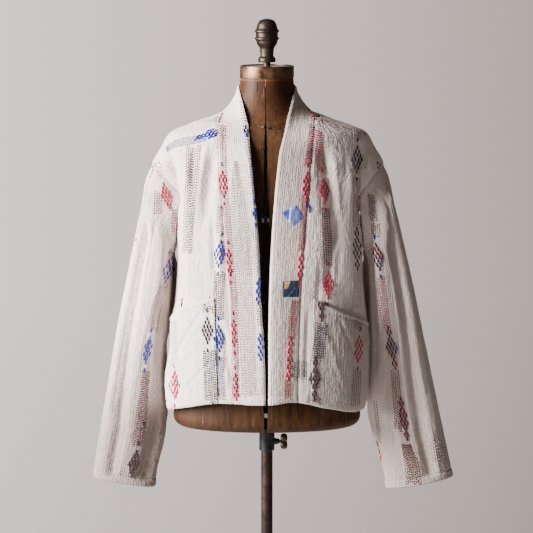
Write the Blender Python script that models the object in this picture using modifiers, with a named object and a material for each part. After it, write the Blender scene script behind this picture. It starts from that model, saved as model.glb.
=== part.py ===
"""A quilted kimono jacket on an antique dress form with its stand.

Metres. X runs to the viewer's right, Y away from the viewer and Z up from the floor.
"Left" and "right" in names are the viewer's, who looks at the front of the jacket.
"""
import math

import bmesh
import bpy
import numpy as np
from mathutils import Vector

# Cloth
CLOTH = 0.002              # two layers of old cotton, quilted
BAND_CLOTH = 0.003         # the neckband is folded double
SEAM_GAP = 0.0003          # between two pieces that are sewn together
QUILT_RISE = 0.0007        # a quilted ridge stands this far over the valley beside it

# Body of the jacket: half widths to each side, depths before and behind the pole's axis, and the
# section's roundness: 2 is an ellipse, more is boxier, less is leaner towards the sides
BODY_SECTIONS = [
    # height  left    right   front   back    round
    (0.770, 0.2045, 0.1960, 0.1290, 0.1230, 2.6),
    (0.800, 0.2085, 0.2065, 0.1300, 0.1240, 2.6),
    (0.840, 0.2100, 0.2095, 0.1310, 0.1250, 2.6),
    (0.880, 0.2050, 0.2105, 0.1310, 0.1250, 2.6),
    (0.915, 0.1995, 0.2105, 0.1305, 0.1245, 2.6),
    (0.966, 0.1980, 0.2080, 0.1290, 0.1230, 2.6),
    (1.010, 0.1900, 0.2030, 0.1270, 0.1210, 2.6),
    (1.090, 0.1850, 0.1975, 0.1255, 0.1190, 2.6),
    (1.165, 0.1890, 0.1990, 0.1260, 0.1185, 2.45),
    (1.216, 0.2000, 0.2090, 0.1260, 0.1180, 2.2),
    (1.239, 0.2095, 0.2180, 0.1250, 0.1165, 2.05),
    (1.262, 0.2250, 0.2320, 0.1230, 0.1145, 1.9),
    (1.288, 0.2360, 0.2405, 0.1200, 0.1120, 1.8),
    (1.330, 0.2155, 0.2200, 0.1130, 0.1050, 1.8),
    (1.352, 0.2030, 0.2080, 0.1060, 0.0990, 1.9),
    (1.361, 0.1908, 0.1970, 0.1020, 0.0950, 1.95),
    (1.371, 0.1661, 0.1730, 0.0960, 0.0900, 2.0),
    (1.381, 0.1400, 0.1435, 0.0900, 0.0850, 2.1),
    (1.388, 0.1150, 0.1240, 0.0850, 0.0810, 2.2),
    (1.394, 0.1010, 0.1090, 0.0800, 0.0775, 2.3),
    (1.3985, 0.0925, 0.0950, 0.0770, 0.0755, 2.3),
]

# The hem hangs lowest at the sides and back and lifts over the front
HEM_SIDE = 0.777
HEM_FRONT_LIFT = 0.029
HEM_BACK_LIFT = 0.004
HEM_BLEND_TOP = 1.010      # rows of the grid are level from here up
HEM_SQUARENESS = 0.8       # under 1 keeps the front of the hem level for longer
HEM_WAVE_TOP = 0.880       # rows from here up don't follow the hem's wave
HEM_WAVE = [
    # across  rise of the front's hem
    (-0.1840, 0.0000),
    (-0.1520, 0.0030),
    (-0.1240, 0.0070),
    (-0.0990, 0.0090),
    (-0.0670, 0.0085),
    (-0.0380, 0.0065),
    (0.0000, 0.0060),
    (0.0225, 0.0080),
    (0.0450, 0.0115),
    (0.0660, 0.0105),
    (0.0880, 0.0065),
    (0.1135, 0.0000),
    (0.1360, -0.0030),
    (0.1610, -0.0070),
    (0.1820, -0.0070),
    (0.2050, 0.0000),
]

# Armhole: a slanting loop in the side of the body, from the underarm up to the shoulder tip
UNDERARM = 1.1225
SHOULDER_TIP = 1.288
ARMHOLE_REACH = 0.048      # how far the loop bows forward and back
TIP_REACH = 0.010          # the shoulder seam meets it this far in front of the ridge
SHOULDER_SEAM_REACH = 0.020
SHOULDER_SEAM_END = 1.392  # where the shoulder seam meets the neckband
BACK_NECK = 1.3985

# Seam between front and neckband, and the neckband's free edge, as distances from the middle
BAND_LINES = [
    # height  seam_l  seam_r  edge_l  edge_r
    (0.770, 0.0680, 0.0640, 0.0026, 0.0024),
    (0.850, 0.0705, 0.0650, 0.0034, 0.0030),
    (0.922, 0.0740, 0.0663, 0.0053, 0.0028),
    (1.025, 0.0795, 0.0692, 0.0118, 0.0042),
    (1.128, 0.0861, 0.0765, 0.0153, 0.0080),
    (1.230, 0.0925, 0.0839, 0.0239, 0.0153),
    (1.330, 0.1003, 0.0927, 0.0339, 0.0263),
    (1.386, 0.1012, 0.0980, 0.0420, 0.0390),
    (1.392, 0.0985, 0.0975, 0.0440, 0.0410),
]
BAND_FLAT_TOP = 1.330      # below this the neckband lies on the body's surface
BAND_RISE_SHARE = 0.3      # share of the standing part over which it leaves the body's surface

# The neckband's free edge from the chest round to the nape: left side taken as the right's mirror
NECK_EDGE = [
    # across  depth    height
    (0.0365, -0.0860, 1.368),
    (0.0425, -0.0740, 1.391),
    (0.0485, -0.0600, 1.412),
    (0.0545, -0.0400, 1.430),
    (0.0595, -0.0150, 1.446),
    (0.0605, 0.0060, 1.452),
    (0.0520, 0.0380, 1.457),
    (0.0290, 0.0590, 1.459),
    (0.0000, 0.0655, 1.460),
]
NECK_HUG = 0.0035          # the standing part of the neckband bows in towards the neck by this much

# Long soft folds of the body: positive heights are ridges, negative ones troughs
BODY_FOLDS = [
    # face  x_top   z_top  x_low   z_low  half_width height
    (-1, -0.1980, 1.335, -0.1830, 1.190, 0.0120, -0.011),
    (-1, 0.1950, 1.345, 0.1900, 1.180, 0.0120, -0.011),
    (-1, -0.1050, 1.345, -0.1300, 1.160, 0.0110, -0.007),
    (-1, 0.1120, 1.350, 0.1420, 1.120, 0.0120, -0.008),
    (-1, 0.1400, 1.200, 0.1200, 1.030, 0.0120, -0.006),
    (-1, -0.1620, 1.320, -0.1560, 1.020, 0.0150, 0.005),
    (-1, 0.1700, 1.300, 0.1760, 1.010, 0.0140, 0.005),
    (-1, 0.0040, 1.100, 0.0010, 0.735, 0.0580, 0.0095),
    (1, -0.1300, 1.330, -0.1100, 1.040, 0.0160, -0.007),
    (1, 0.1250, 1.330, 0.1150, 1.000, 0.0160, -0.007),
    (1, -0.0400, 1.250, -0.0500, 0.860, 0.0180, 0.005),
    (1, 0.0520, 1.220, 0.0450, 0.880, 0.0180, 0.005),
    (1, -0.1930, 1.300, -0.1830, 1.180, 0.0120, -0.008),
    (1, 0.1940, 1.300, 0.1900, 1.180, 0.0120, -0.008),
]
FOLD_END = 0.045           # length over which a fold dies away at each end

# Sleeves: where the outer and inner creases run, how deep the tube is, and where its middle lies
SLEEVE_LEFT = [
    # outer_x outer_z  inner_x inner_z half_depth middle_y
    (-0.2360, 1.2880, -0.1870, 1.1225, 0.0480, 0.000),
    (-0.2495, 1.2600, -0.1915, 1.1050, 0.0530, 0.001),
    (-0.2570, 1.2150, -0.1950, 1.0850, 0.0570, 0.002),
    (-0.2687, 1.1600, -0.1980, 1.0300, 0.0600, 0.006),
    (-0.2892, 1.0600, -0.2035, 0.9650, 0.0600, 0.012),
    (-0.3098, 0.9600, -0.2145, 0.8850, 0.0560, 0.018),
    (-0.3273, 0.8600, -0.2160, 0.8050, 0.0500, 0.022),
    (-0.3450, 0.7565, -0.2110, 0.7350, 0.0420, 0.022),
    (-0.3620, 0.6540, -0.2300, 0.6450, 0.0350, 0.020),
    (-0.3645, 0.6310, -0.2350, 0.6100, 0.0340, 0.020),
]
SLEEVE_RIGHT = [
    # outer_x outer_z  inner_x inner_z half_depth middle_y
    (0.2405, 1.2880, 0.1980, 1.1225, 0.0480, 0.000),
    (0.2520, 1.2600, 0.2035, 1.1050, 0.0530, 0.001),
    (0.2615, 1.2150, 0.2085, 1.0850, 0.0570, 0.002),
    (0.2754, 1.1600, 0.2105, 1.0300, 0.0610, 0.006),
    (0.2989, 1.0600, 0.2130, 0.9650, 0.0600, 0.010),
    (0.3206, 0.9600, 0.2170, 0.8850, 0.0560, 0.014),
    (0.3413, 0.8600, 0.2150, 0.8050, 0.0510, 0.018),
    (0.3642, 0.7565, 0.2190, 0.7350, 0.0430, 0.018),
    (0.3860, 0.6540, 0.2440, 0.6450, 0.0360, 0.016),
    (0.3906, 0.6330, 0.2505, 0.6070, 0.0350, 0.016),
]
SLEEVE_ROUNDNESS = 2.3
SLEEVE_SETTLE = 0.18       # share of the sleeve over which the armhole's shape fades into the tube's

# Long folds of the sleeves: turn 0 is the outer crease, 90 the front, 180 the inner crease
SLEEVE_FOLDS_LEFT = [
    # turn_top share_top turn_low share_low half_turn height
    (62, 0.22, 66, 0.97, 11, -0.009),
    (105, 0.10, 118, 0.75, 14, 0.005),
    (36, 0.12, 40, 0.80, 13, 0.004),
    (-60, 0.20, -70, 0.90, 14, -0.008),
    (-110, 0.10, -105, 0.70, 15, 0.005),
    (-145, 0.13, -145, 0.54, 16, 0.015),
]
SLEEVE_FOLDS_RIGHT = [
    # turn_top share_top turn_low share_low half_turn height
    (66, 0.25, 72, 0.97, 11, -0.009),
    (112, 0.12, 116, 0.80, 14, 0.005),
    (38, 0.12, 44, 0.85, 12, 0.004),
    (-64, 0.20, -66, 0.92, 14, -0.008),
    (-112, 0.10, -108, 0.75, 15, 0.005),
    (-145, 0.13, -145, 0.54, 16, 0.016),
]
SLEEVE_FOLD_END = 0.08     # share of the sleeve over which a fold dies away

LAY_GAP = QUILT_RISE + 0.0004   # a piece laid on quilted cloth clears its ridges by this

# Patch pockets: a slanting mouth that drops towards the side seam
POCKETS = [
    # side mouth_in mouth_mid mouth_out
    (-1, 1.0310, 1.0095, 0.9740),
    (1, 1.0295, 0.9960, 0.9635),
]
POCKET_COLUMNS = (2, 14)   # the columns of the front that a pocket reaches from and to
POCKET_ROWS = 4            # rows of the front, from the hem, that it covers whole
POCKET_HEM = 0.03          # the pocket ends this share of the first row above the jacket's hem
POCKET_BELLY = 0.0022      # fullness of the pocket at its mouth
POCKET_BEND = 0.45         # share of the pocket's width at which its mouth starts to drop

# Mended places on the right half of the neckband: small diamond and square patches
PATCH_CLOTH = 0.001
PATCH_STEPS = 4
PATCHES = [
    # name           across  height  half_width half_height turned
    ("patch_diamond", 0.0530, 1.2020, 0.0215, 0.0195, 1),
    ("patch_square", 0.0480, 1.0510, 0.0175, 0.0185, 0),
]

# Dress form: half width, depth in front and behind, and half of the slot down its middle
FORM_SECTIONS = [
    # height   width   front   back    slot
    (0.7673, 0.1950, 0.1080, 0.1080, 0.0030),
    (0.8500, 0.1900, 0.1060, 0.1070, 0.0070),
    (0.9500, 0.1740, 0.1000, 0.1020, 0.0100),
    (1.0500, 0.1640, 0.0980, 0.0980, 0.0105),
    (1.1300, 0.1660, 0.1030, 0.0980, 0.0098),
    (1.2000, 0.1760, 0.1060, 0.0990, 0.0075),
    (1.2600, 0.1850, 0.1040, 0.0980, 0.0045),
    (1.3000, 0.1895, 0.1010, 0.0950, 0.0032),
    (1.3350, 0.1910, 0.0960, 0.0900, 0.0028),
    (1.3530, 0.1835, 0.0900, 0.0850, 0.0024),
    (1.3622, 0.1730, 0.0860, 0.0820, 0.0020),
    (1.3725, 0.1480, 0.0800, 0.0770, 0.0016),
    (1.3797, 0.1230, 0.0750, 0.0725, 0.0012),
    (1.3870, 0.1010, 0.0710, 0.0690, 0.0010),
    (1.3980, 0.0830, 0.0665, 0.0650, 0.0008),
    (1.4180, 0.0680, 0.0600, 0.0600, 0.0006),
    (1.4430, 0.0567, 0.0560, 0.0560, 0.0006),
    (1.4684, 0.0543, 0.0543, 0.0543, 0.0006),
]
FORM_ROUNDNESS = 2.05
FORM_WALL = 0.006
FORM_FLOOR = 0.7453        # underside of the form
FORM_CORNER = 0.022        # rounding between its side and its underside
FORM_HOLE = 0.019          # clears the pole
SLOT_X = -0.0025           # the slot sits a little to the left

# Stand
POLE_RADIUS = 0.0121
POLE_TOP = 0.930
SOCKET_FLOOR = 0.020       # the pole's foot rests here, inside the base
BASE_PROFILE = [
    # radius  height
    (0.0190, 0.0850),
    (0.0205, 0.0830),
    (0.0215, 0.0600),
    (0.0280, 0.0480),
    (0.0500, 0.0380),
    (0.1000, 0.0260),
    (0.1600, 0.0160),
    (0.1700, 0.0100),
    (0.1700, 0.0000),
]
COLLAR_BORE = 0.0124
COLLAR_RADIUS = 0.0160
COLLAR_LOW = 0.6905
FLANGE_RADIUS = 0.045
FLANGE_THICKNESS = 0.003
BOSS_RADIUS = 0.0080       # at its root; it narrows to BOSS_TIP
BOSS_TIP = 0.0048
BOSS_ROOT = 0.0130         # the boss starts inside the collar's wall and ends at BOSS_REACH
BOSS_REACH = 0.0265
SCREW_HEIGHT = 0.7092
SCREW_RADIUS = 0.0030
SCREW_BORE = 0.0033
SCREW_BORE_START = 0.005   # the bore runs from the collar's hollow out past the boss
SCREW_BORE_END = 0.035
SCREW_POINT = 0.0127       # the thumbscrew's point stops just short of the pole
SCREW_INTO_WING = 0.0020
WING_START = 0.0305
WING_THICKNESS = 0.0125
WING_LOBE = 0.0092
WING_SPREAD = 0.0075

# Small metal pieces on the form
HEAD_RADIUS = 0.0026
HEAD_THICKNESS = 0.0016
HEAD_SEAT = 0.0004
SCREW_HEADS = [
    # name               across  height
    ("neck_screw_left", -0.0085, 1.3730),
    ("neck_screw_right", 0.0045, 1.3710),
    ("hem_screw_left", -0.1300, 0.7680),
    ("hem_screw_middle", 0.0230, 0.7675),
    ("hem_screw_right", 0.1190, 0.7680),
]
SPREADER_HEIGHT = 1.187
SPREADER_TALL = 0.016
SPREADER_THICK = 0.003
SPREADER_STEP = 0.0018     # the bar and its tabs lie this far behind and before the slot's middle depth
TAB_TALL = 0.008
TAB_SHARE = 0.55           # a tab's width, as a share of half the slot
SPACER_HEIGHT = 0.785
SPACER_THICK = 0.004
SPACER_TALL = 0.009

# Cap and finial
CAP_RADIUS = 0.0555
CAP_LOW = 1.4687
CAP_TOP = 1.4935
CAP_RIM = 0.004
CAP_RECESS = 0.002
CAP_EASE = 0.001           # its edges are eased by this much
FINIAL_STEM = 0.0074
FINIAL = [
    # height   radius
    (1.5891, 0.0000),
    (1.5875, 0.0090),
    (1.5846, 0.0149),
    (1.5780, 0.0192),
    (1.5687, 0.0221),
    (1.5640, 0.0250),
    (1.5622, 0.0250),
    (1.5602, 0.0227),
    (1.5525, 0.0225),
    (1.5495, 0.0252),
    (1.5477, 0.0252),
    (1.5450, 0.0227),
    (1.5384, 0.0208),
    (1.5332, 0.0178),
    (1.5279, 0.0147),
    (1.5134, 0.0135),
    (1.5095, 0.0168),
    (1.5043, 0.0182),
    (1.5002, 0.0172),
]
ROUND_STEPS = 20

# How finely each cloth piece is divided
ROWS_BELOW_ARMHOLE = [0.777, 0.840, 0.900, 0.955, 1.012, 1.066]
ARMHOLE_STEPS = 6
ROWS_ABOVE_ARMHOLE = [1.310, 1.330, 1.348, 1.360, 1.370, 1.379, 1.386, 1.392]
FRONT_COLUMNS = 16
BACK_COLUMNS = 40
BAND_COLUMNS = 4
SLEEVE_SPLIT = 3
SLEEVE_RINGS = 12
RING_CROWDING = 1.15       # over 1 sets the sleeve's rings closer together near the armhole
FORM_COLUMNS = 12
RING_SAMPLES = 160

PART_COLLECTION = bpy.data.collections.new("kimono_jacket_on_form")
CUTTER_COLLECTION = bpy.data.collections.new("cutters")


def clear_scene():
    for item in list(bpy.data.objects):
        bpy.data.objects.remove(item, do_unlink=True)
    bpy.context.scene.collection.children.link(PART_COLLECTION)
    bpy.context.scene.collection.children.link(CUTTER_COLLECTION)


def material(name, colour, roughness, metallic=0.0):
    made = bpy.data.materials.new(name)
    made.use_nodes = True
    shader = made.node_tree.nodes["Principled BSDF"]
    shader.inputs["Base Color"].default_value = (*colour, 1.0)
    shader.inputs["Roughness"].default_value = roughness
    shader.inputs["Metallic"].default_value = metallic
    made.diffuse_color = (*colour, 1.0)
    return made


def read_table(table, heights):
    """Read each value column of a table at the given heights with a cubic that never overshoots."""
    rows = np.array(table, dtype=float)
    known = rows[:, 0]
    values = rows[:, 1:]
    at = np.clip(np.atleast_1d(np.asarray(heights, dtype=float)), known[0], known[-1])
    step = np.diff(known)[:, None]
    rise = np.diff(values, axis=0) / step
    slope = np.zeros_like(values)
    slope[0] = rise[0]
    slope[-1] = rise[-1]
    before = rise[:-1]
    after = rise[1:]
    same_way = before * after > 0
    weight_a = 2 * step[1:] + step[:-1]
    weight_b = step[1:] + 2 * step[:-1]
    safe_before = np.where(same_way, before, 1.0)
    safe_after = np.where(same_way, after, 1.0)
    mean = (weight_a + weight_b) / (weight_a / safe_before + weight_b / safe_after)
    slope[1:-1] = np.where(same_way, mean, 0.0)
    k = np.clip(np.searchsorted(known, at, side="right") - 1, 0, len(known) - 2)
    h = step[k]
    t = (at - known[k])[:, None] / h
    return ((1 + 2 * t) * (1 - t) ** 2 * values[k] + t * (1 - t) ** 2 * h * slope[k]
            + t * t * (3 - 2 * t) * values[k + 1] + t * t * (t - 1) * h * slope[k + 1])


def read_along(table, share):
    """Read a table whose rows follow each other, by share of the way from its first row to its last."""
    rows = np.array(table, dtype=float)
    numbered = np.column_stack([np.linspace(0, 1, len(rows)), rows])
    return read_table(numbered, share)


def ease(value):
    value = np.clip(value, 0.0, 1.0)
    return value * value * (3 - 2 * value)


def signed_power(value, exponent):
    return np.sign(value) * np.abs(value) ** exponent


# The body's surface

def body_sizes(height):
    return read_table(BODY_SECTIONS, height)[0]


def angle_at_x(x, height):
    """Turn round the front of the section, from the middle, at which it reaches x."""
    left, right, front, back, roundness = body_sizes(height)
    width = left if x < 0 else right
    share = min(abs(x) / width, 1.0)
    return math.copysign(math.asin(share ** (roundness / 2)), x)


def angle_at_reach(side, reach, height):
    """Turn at which the section lies `reach` in front of the side (behind it when negative)."""
    left, right, front, back, roundness = body_sizes(height)
    depth = front if reach > 0 else back
    share = (abs(reach) / depth) ** (roundness / 2)
    return side * (math.pi / 2 - math.copysign(math.asin(share), reach))


def fold_height(x, y, z):
    """How far the body's folds lift the cloth at a point."""
    total = np.zeros_like(x)
    for face, x_top, z_top, x_low, z_low, half_width, height in BODY_FOLDS:
        share = (z_top - z) / (z_top - z_low)
        axis = x_top + (x_low - x_top) * share
        length = np.minimum(z_top - z, z - z_low)
        taper = ease(length / FOLD_END)
        on_face = ease(face * y / 0.020)
        total = total + height * taper * on_face * np.exp(-((x - axis) / half_width) ** 2)
    return total


def body_section(angles, height):
    """Points of the body's outer surface at one height, for turns in radians from the front middle."""
    left, right, front, back, roundness = body_sizes(height)
    s = np.sin(angles)
    c = np.cos(angles)
    x = np.where(s < 0, left, right) * signed_power(s, 2 / roundness)
    y = -np.where(c > 0, front, back) * signed_power(c, 2 / roundness)
    lift = fold_height(x, y, height)
    out_x = signed_power(s, 2 - 2 / roundness) / np.where(s < 0, left, right)
    out_y = -signed_power(c, 2 - 2 / roundness) / np.where(c > 0, front, back)
    size = np.hypot(out_x, out_y)
    drop = ease((HEM_BLEND_TOP - height) / (HEM_BLEND_TOP - HEM_SIDE))
    hem_lift = np.where(c > 0, HEM_FRONT_LIFT, HEM_BACK_LIFT) * np.abs(c) ** HEM_SQUARENESS * drop
    wave = np.array(HEM_WAVE)
    fade = ease(4 * c) * ease((HEM_WAVE_TOP - height) / (HEM_WAVE_TOP - HEM_SIDE))
    z = height + hem_lift + np.interp(x, wave[:, 0], wave[:, 1]) * fade
    return np.column_stack([x + lift * out_x / size, y + lift * out_y / size, z])


def body_row(start, end, height, count):
    """Points evenly spaced along the section between two turns."""
    fine = body_section(np.linspace(start, end, RING_SAMPLES), height)
    length = np.concatenate([[0.0], np.cumsum(np.linalg.norm(np.diff(fine, axis=0), axis=1))])
    wanted = np.linspace(0, length[-1], count)
    return np.column_stack([np.interp(wanted, length, fine[:, k]) for k in range(3)])


def armhole_heights():
    turns = np.linspace(math.pi, 0.0, ARMHOLE_STEPS + 1)
    return UNDERARM + (SHOULDER_TIP - UNDERARM) * (1 + np.cos(turns)) / 2


def armhole_reach(height, tip):
    """The loop bows out between the underarm and the shoulder tip, where its reach is `tip`."""
    share = (height - UNDERARM) / (SHOULDER_TIP - UNDERARM)
    bow = math.sqrt(max(0.0, 1 - (2 * share - 1) ** 2))
    return ARMHOLE_REACH * bow + tip * ease(share)


def shoulder_reach(height):
    share = ease((height - SHOULDER_TIP) / (SHOULDER_SEAM_END - SHOULDER_TIP))
    return TIP_REACH + (SHOULDER_SEAM_REACH - TIP_REACH) * share


def row_heights():
    return list(ROWS_BELOW_ARMHOLE) + list(armhole_heights()) + list(ROWS_ABOVE_ARMHOLE)


def front_edge_turn(side, height):
    """Where the front panel ends: at the side seam, the armhole or the shoulder seam."""
    if height <= UNDERARM + 1e-9:
        return side * math.pi / 2
    if height <= SHOULDER_TIP + 1e-9:
        return angle_at_reach(side, max(armhole_reach(height, TIP_REACH), 1e-6), height)
    return angle_at_reach(side, shoulder_reach(height), height)


def back_edge_turn(side, height):
    """Where the back panel ends, as a turn from the front middle on that side."""
    if height <= UNDERARM + 1e-9:
        return side * math.pi / 2
    if height <= SHOULDER_TIP + 1e-9:
        reach = -armhole_reach(height, -TIP_REACH)
        return angle_at_reach(side, reach, height)
    if height <= SHOULDER_SEAM_END + 1e-9:
        return angle_at_reach(side, shoulder_reach(height), height)
    return angle_at_reach(side, 0.004, height)


def band_line(side, height):
    """Distances of the neckband's seam and free edge from the middle."""
    seam_l, seam_r, edge_l, edge_r = read_table(BAND_LINES, height)[0]
    return (seam_l, edge_l) if side < 0 else (seam_r, edge_r)


def front_grid(side):
    """Rows from the hem up, columns from the neckband's seam round to the side."""
    rows = []
    for height in row_heights():
        start = angle_at_x(side * band_line(side, height)[0], height)
        rows.append(body_row(start, front_edge_turn(side, height), height, FRONT_COLUMNS + 1))
    return np.array(rows)


def back_grid():
    """Rows from the hem up, columns from the left edge round the back to the right edge."""
    rows = []
    for height in row_heights() + [BACK_NECK]:
        start = back_edge_turn(-1, height)
        end = back_edge_turn(1, height)
        rows.append(body_row(start, end - 2 * math.pi, height, BACK_COLUMNS + 1))
    return np.array(rows)


# The neckband

def along(points, share):
    """Points at the given shares of a polyline's length."""
    length = np.concatenate([[0.0], np.cumsum(np.linalg.norm(np.diff(points, axis=0), axis=1))])
    wanted = np.asarray(share) * length[-1]
    return np.column_stack([np.interp(wanted, length, points[:, k]) for k in range(3)])


def half_band(side, front, back):
    """Stations from the hem up to the nape, columns from the seam to the free edge."""
    stations = []
    heights = row_heights()
    flat = [k for k, height in enumerate(heights) if height <= BAND_FLAT_TOP + 1e-9]
    for k in flat:
        seam, edge = band_line(side, heights[k])
        start = angle_at_x(side * seam, heights[k])
        end = angle_at_x(side * edge, heights[k])
        stations.append(body_row(start, end, heights[k], BAND_COLUMNS + 1))
    standing = [front[k, 0] for k in range(flat[-1] + 1, len(heights))]
    top_row = back[-1]
    middle = BACK_COLUMNS // 2
    if side > 0:
        standing.append(back[-2, -1])
        standing.extend(top_row[:middle - 1:-1])
    else:
        standing.append(back[-2, 0])
        standing.extend(top_row[:middle + 1])
    seam_line = np.array([stations[-1][0]] + standing)
    free = np.array(NECK_EDGE) * np.array([side, 1, 1])
    free_line = read_along(np.vstack([stations[-1][-1], free]), np.linspace(0, 1, 60))
    step = np.linalg.norm(np.diff(seam_line, axis=0), axis=1)
    share = np.concatenate([[0.0], np.cumsum(step)]) / step.sum()
    matched = along(free_line, share)
    across = np.linspace(0, 1, BAND_COLUMNS + 1)[:, None]
    for k in range(1, len(seam_line)):
        straight = seam_line[k] * (1 - across) + matched[k] * across
        inward = -seam_line[k] * np.array([1, 1, 0])
        inward = inward / np.linalg.norm(inward)
        bow = NECK_HUG * ease(share[k] / BAND_RISE_SHARE) * 4 * across * (1 - across)
        stations.append(straight + bow * inward)
    return np.array(stations)


def band_grid(front_left, front_right, back):
    left = half_band(-1, front_left, back)
    right = half_band(1, front_right, back)
    return np.vstack([right, left[-2::-1]])


# The sleeves

def sleeve_folds(folds, turns, share):
    total = np.zeros_like(turns)
    for turn_top, share_top, turn_low, share_low, half_turn, height in folds:
        part = (share - share_top) / (share_low - share_top)
        axis = turn_top + (turn_low - turn_top) * part
        off = (np.degrees(turns) - axis + 180) % 360 - 180
        taper = ease(min(share - share_top, share_low - share) / SLEEVE_FOLD_END)
        total = total + height * taper * np.exp(-(off / half_turn) ** 2)
    return total


def sleeve_ring(table, folds, turns, share):
    """One ring of the sleeve's tube, at a share of the way from the armhole to the cuff."""
    outer_x, outer_z, inner_x, inner_z, half_depth, middle_y = read_along(table, share)[0]
    c = signed_power(np.cos(turns), 2 / SLEEVE_ROUNDNESS)
    s = signed_power(np.sin(turns), 2 / SLEEVE_ROUNDNESS)
    middle = np.array([(outer_x + inner_x) / 2, middle_y, (outer_z + inner_z) / 2])
    half = np.array([(outer_x - inner_x) / 2, 0.0, (outer_z - inner_z) / 2])
    lift = sleeve_folds(folds, turns, share)
    wide = 1 + (lift / max(abs(half[0]), 0.02))[:, None]
    deep = half_depth + lift
    return middle + c[:, None] * half * wide - (s * deep)[:, None] * np.array([0.0, 1.0, 0.0])


def sleeve_grid(table, folds, loop):
    """Rings from the armhole to the cuff. The first ring is the armhole's loop itself."""
    knots = np.linspace(0, 2 * math.pi, 2 * ARMHOLE_STEPS + 1)[:-1]
    turns = (knots[:, None] + np.arange(SLEEVE_SPLIT) * (knots[1] / SLEEVE_SPLIT)).ravel()
    closed = np.vstack([loop, loop[:1]])
    part = np.arange(SLEEVE_SPLIT)[:, None] / SLEEVE_SPLIT
    fine = np.vstack([closed[k] * (1 - part) + closed[k + 1] * part for k in range(len(loop))])
    rings = []
    for share in np.linspace(0, 1, SLEEVE_RINGS) ** RING_CROWDING:
        ring = sleeve_ring(table, folds, turns, share)
        stray = fine - sleeve_ring(table, folds, turns, 0.0)
        fade = 1 - ease(share / SLEEVE_SETTLE)
        rings.append(ring + stray * fade)
    return np.array(rings)


# Walls of cloth

def grid_normals(grid, closed):
    """Unit normals of a grid of points, by central differences."""
    if closed:
        wrapped = np.concatenate([grid[:, -1:], grid, grid[:, :1]], axis=1)
        across = np.gradient(wrapped, axis=1)[:, 1:-1]
    else:
        across = np.gradient(grid, axis=1)
    up = np.gradient(grid, axis=0)
    normal = np.cross(across, up)
    return normal / np.maximum(np.linalg.norm(normal, axis=2, keepdims=True), 1e-12)


def unit(vectors):
    return vectors / np.maximum(np.linalg.norm(vectors, axis=-1, keepdims=True), 1e-12)


class Cloth:
    """A panel: a grid of outer points with a direction that the wall's thickness runs along."""

    def __init__(self, grid, flip=1, closed=False):
        self.grid = grid
        self.normal = grid_normals(grid, closed) * flip
        self.shift = np.zeros_like(grid)
        self.closed = closed


def draw_apart(pieces, gap):
    """Open a gap between pieces that share a line of points and give them one mitred wall direction.

    Each piece is (cloth, its points' rows and columns, the same for the points beside them).
    """
    mitre = unit(sum(cloth.normal[line] for cloth, line, beside in pieces))
    away = [unit(cloth.grid[beside] - cloth.grid[line]) for cloth, line, beside in pieces]
    apart = unit(away[0] - away[1])
    for sign, (cloth, line, beside) in zip((1, -1), pieces):
        cloth.shift[line] += sign * apart * gap / 2
        cloth.normal[line] = mitre


def quilt(cloth, rise):
    """Raise every other column of the outer points, fading out at the piece's edges."""
    rows, columns = cloth.grid.shape[:2]
    ridge = np.where(np.arange(columns) % 2 == 1, rise, 0.0)
    if not cloth.closed:
        ridge[0] = 0.0
        ridge[-1] = 0.0
    fade = np.ones(rows)
    fade[0] = 0.0
    fade[-1] = 0.0
    return fade[:, None] * ridge[None, :]


def wall_mesh(name, outer, inner, closed):
    """A closed wall between an outer and an inner grid of points."""
    rows, columns = outer.shape[:2]
    mesh = bmesh.new()
    front = [[mesh.verts.new(outer[r, c]) for c in range(columns)] for r in range(rows)]
    back = [[mesh.verts.new(inner[r, c]) for c in range(columns)] for r in range(rows)]
    steps = columns if closed else columns - 1
    for r in range(rows - 1):
        for c in range(steps):
            d = (c + 1) % columns
            mesh.faces.new((front[r][c], front[r][d], front[r + 1][d], front[r + 1][c]))
            mesh.faces.new((back[r][c], back[r + 1][c], back[r + 1][d], back[r][d]))
    for c in range(steps):
        d = (c + 1) % columns
        mesh.faces.new((front[0][c], back[0][c], back[0][d], front[0][d]))
        mesh.faces.new((front[-1][c], front[-1][d], back[-1][d], back[-1][c]))
    if not closed:
        for r in range(rows - 1):
            mesh.faces.new((front[r][0], front[r + 1][0], back[r + 1][0], back[r][0]))
            mesh.faces.new((front[r][-1], back[r][-1], back[r + 1][-1], front[r + 1][-1]))
    bmesh.ops.triangulate(mesh, faces=mesh.faces[:])
    bmesh.ops.recalc_face_normals(mesh, faces=mesh.faces[:])
    data = bpy.data.meshes.new(name)
    mesh.to_mesh(data)
    mesh.free()
    return data


def add_node(name, data, finish, smooth_angle=50):
    node = bpy.data.objects.new(name, data)
    PART_COLLECTION.objects.link(node)
    data.materials.append(finish)
    data.shade_smooth()
    data.set_sharp_from_angle(angle=math.radians(smooth_angle))
    return node


def add_cloth(name, cloth, finish, thickness=CLOTH, rise=QUILT_RISE):
    base = cloth.grid + cloth.shift
    outer = base + cloth.normal * quilt(cloth, rise)[..., None]
    inner = base - cloth.normal * thickness
    return add_node(name, wall_mesh(name, outer, inner, cloth.closed), finish)


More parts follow.
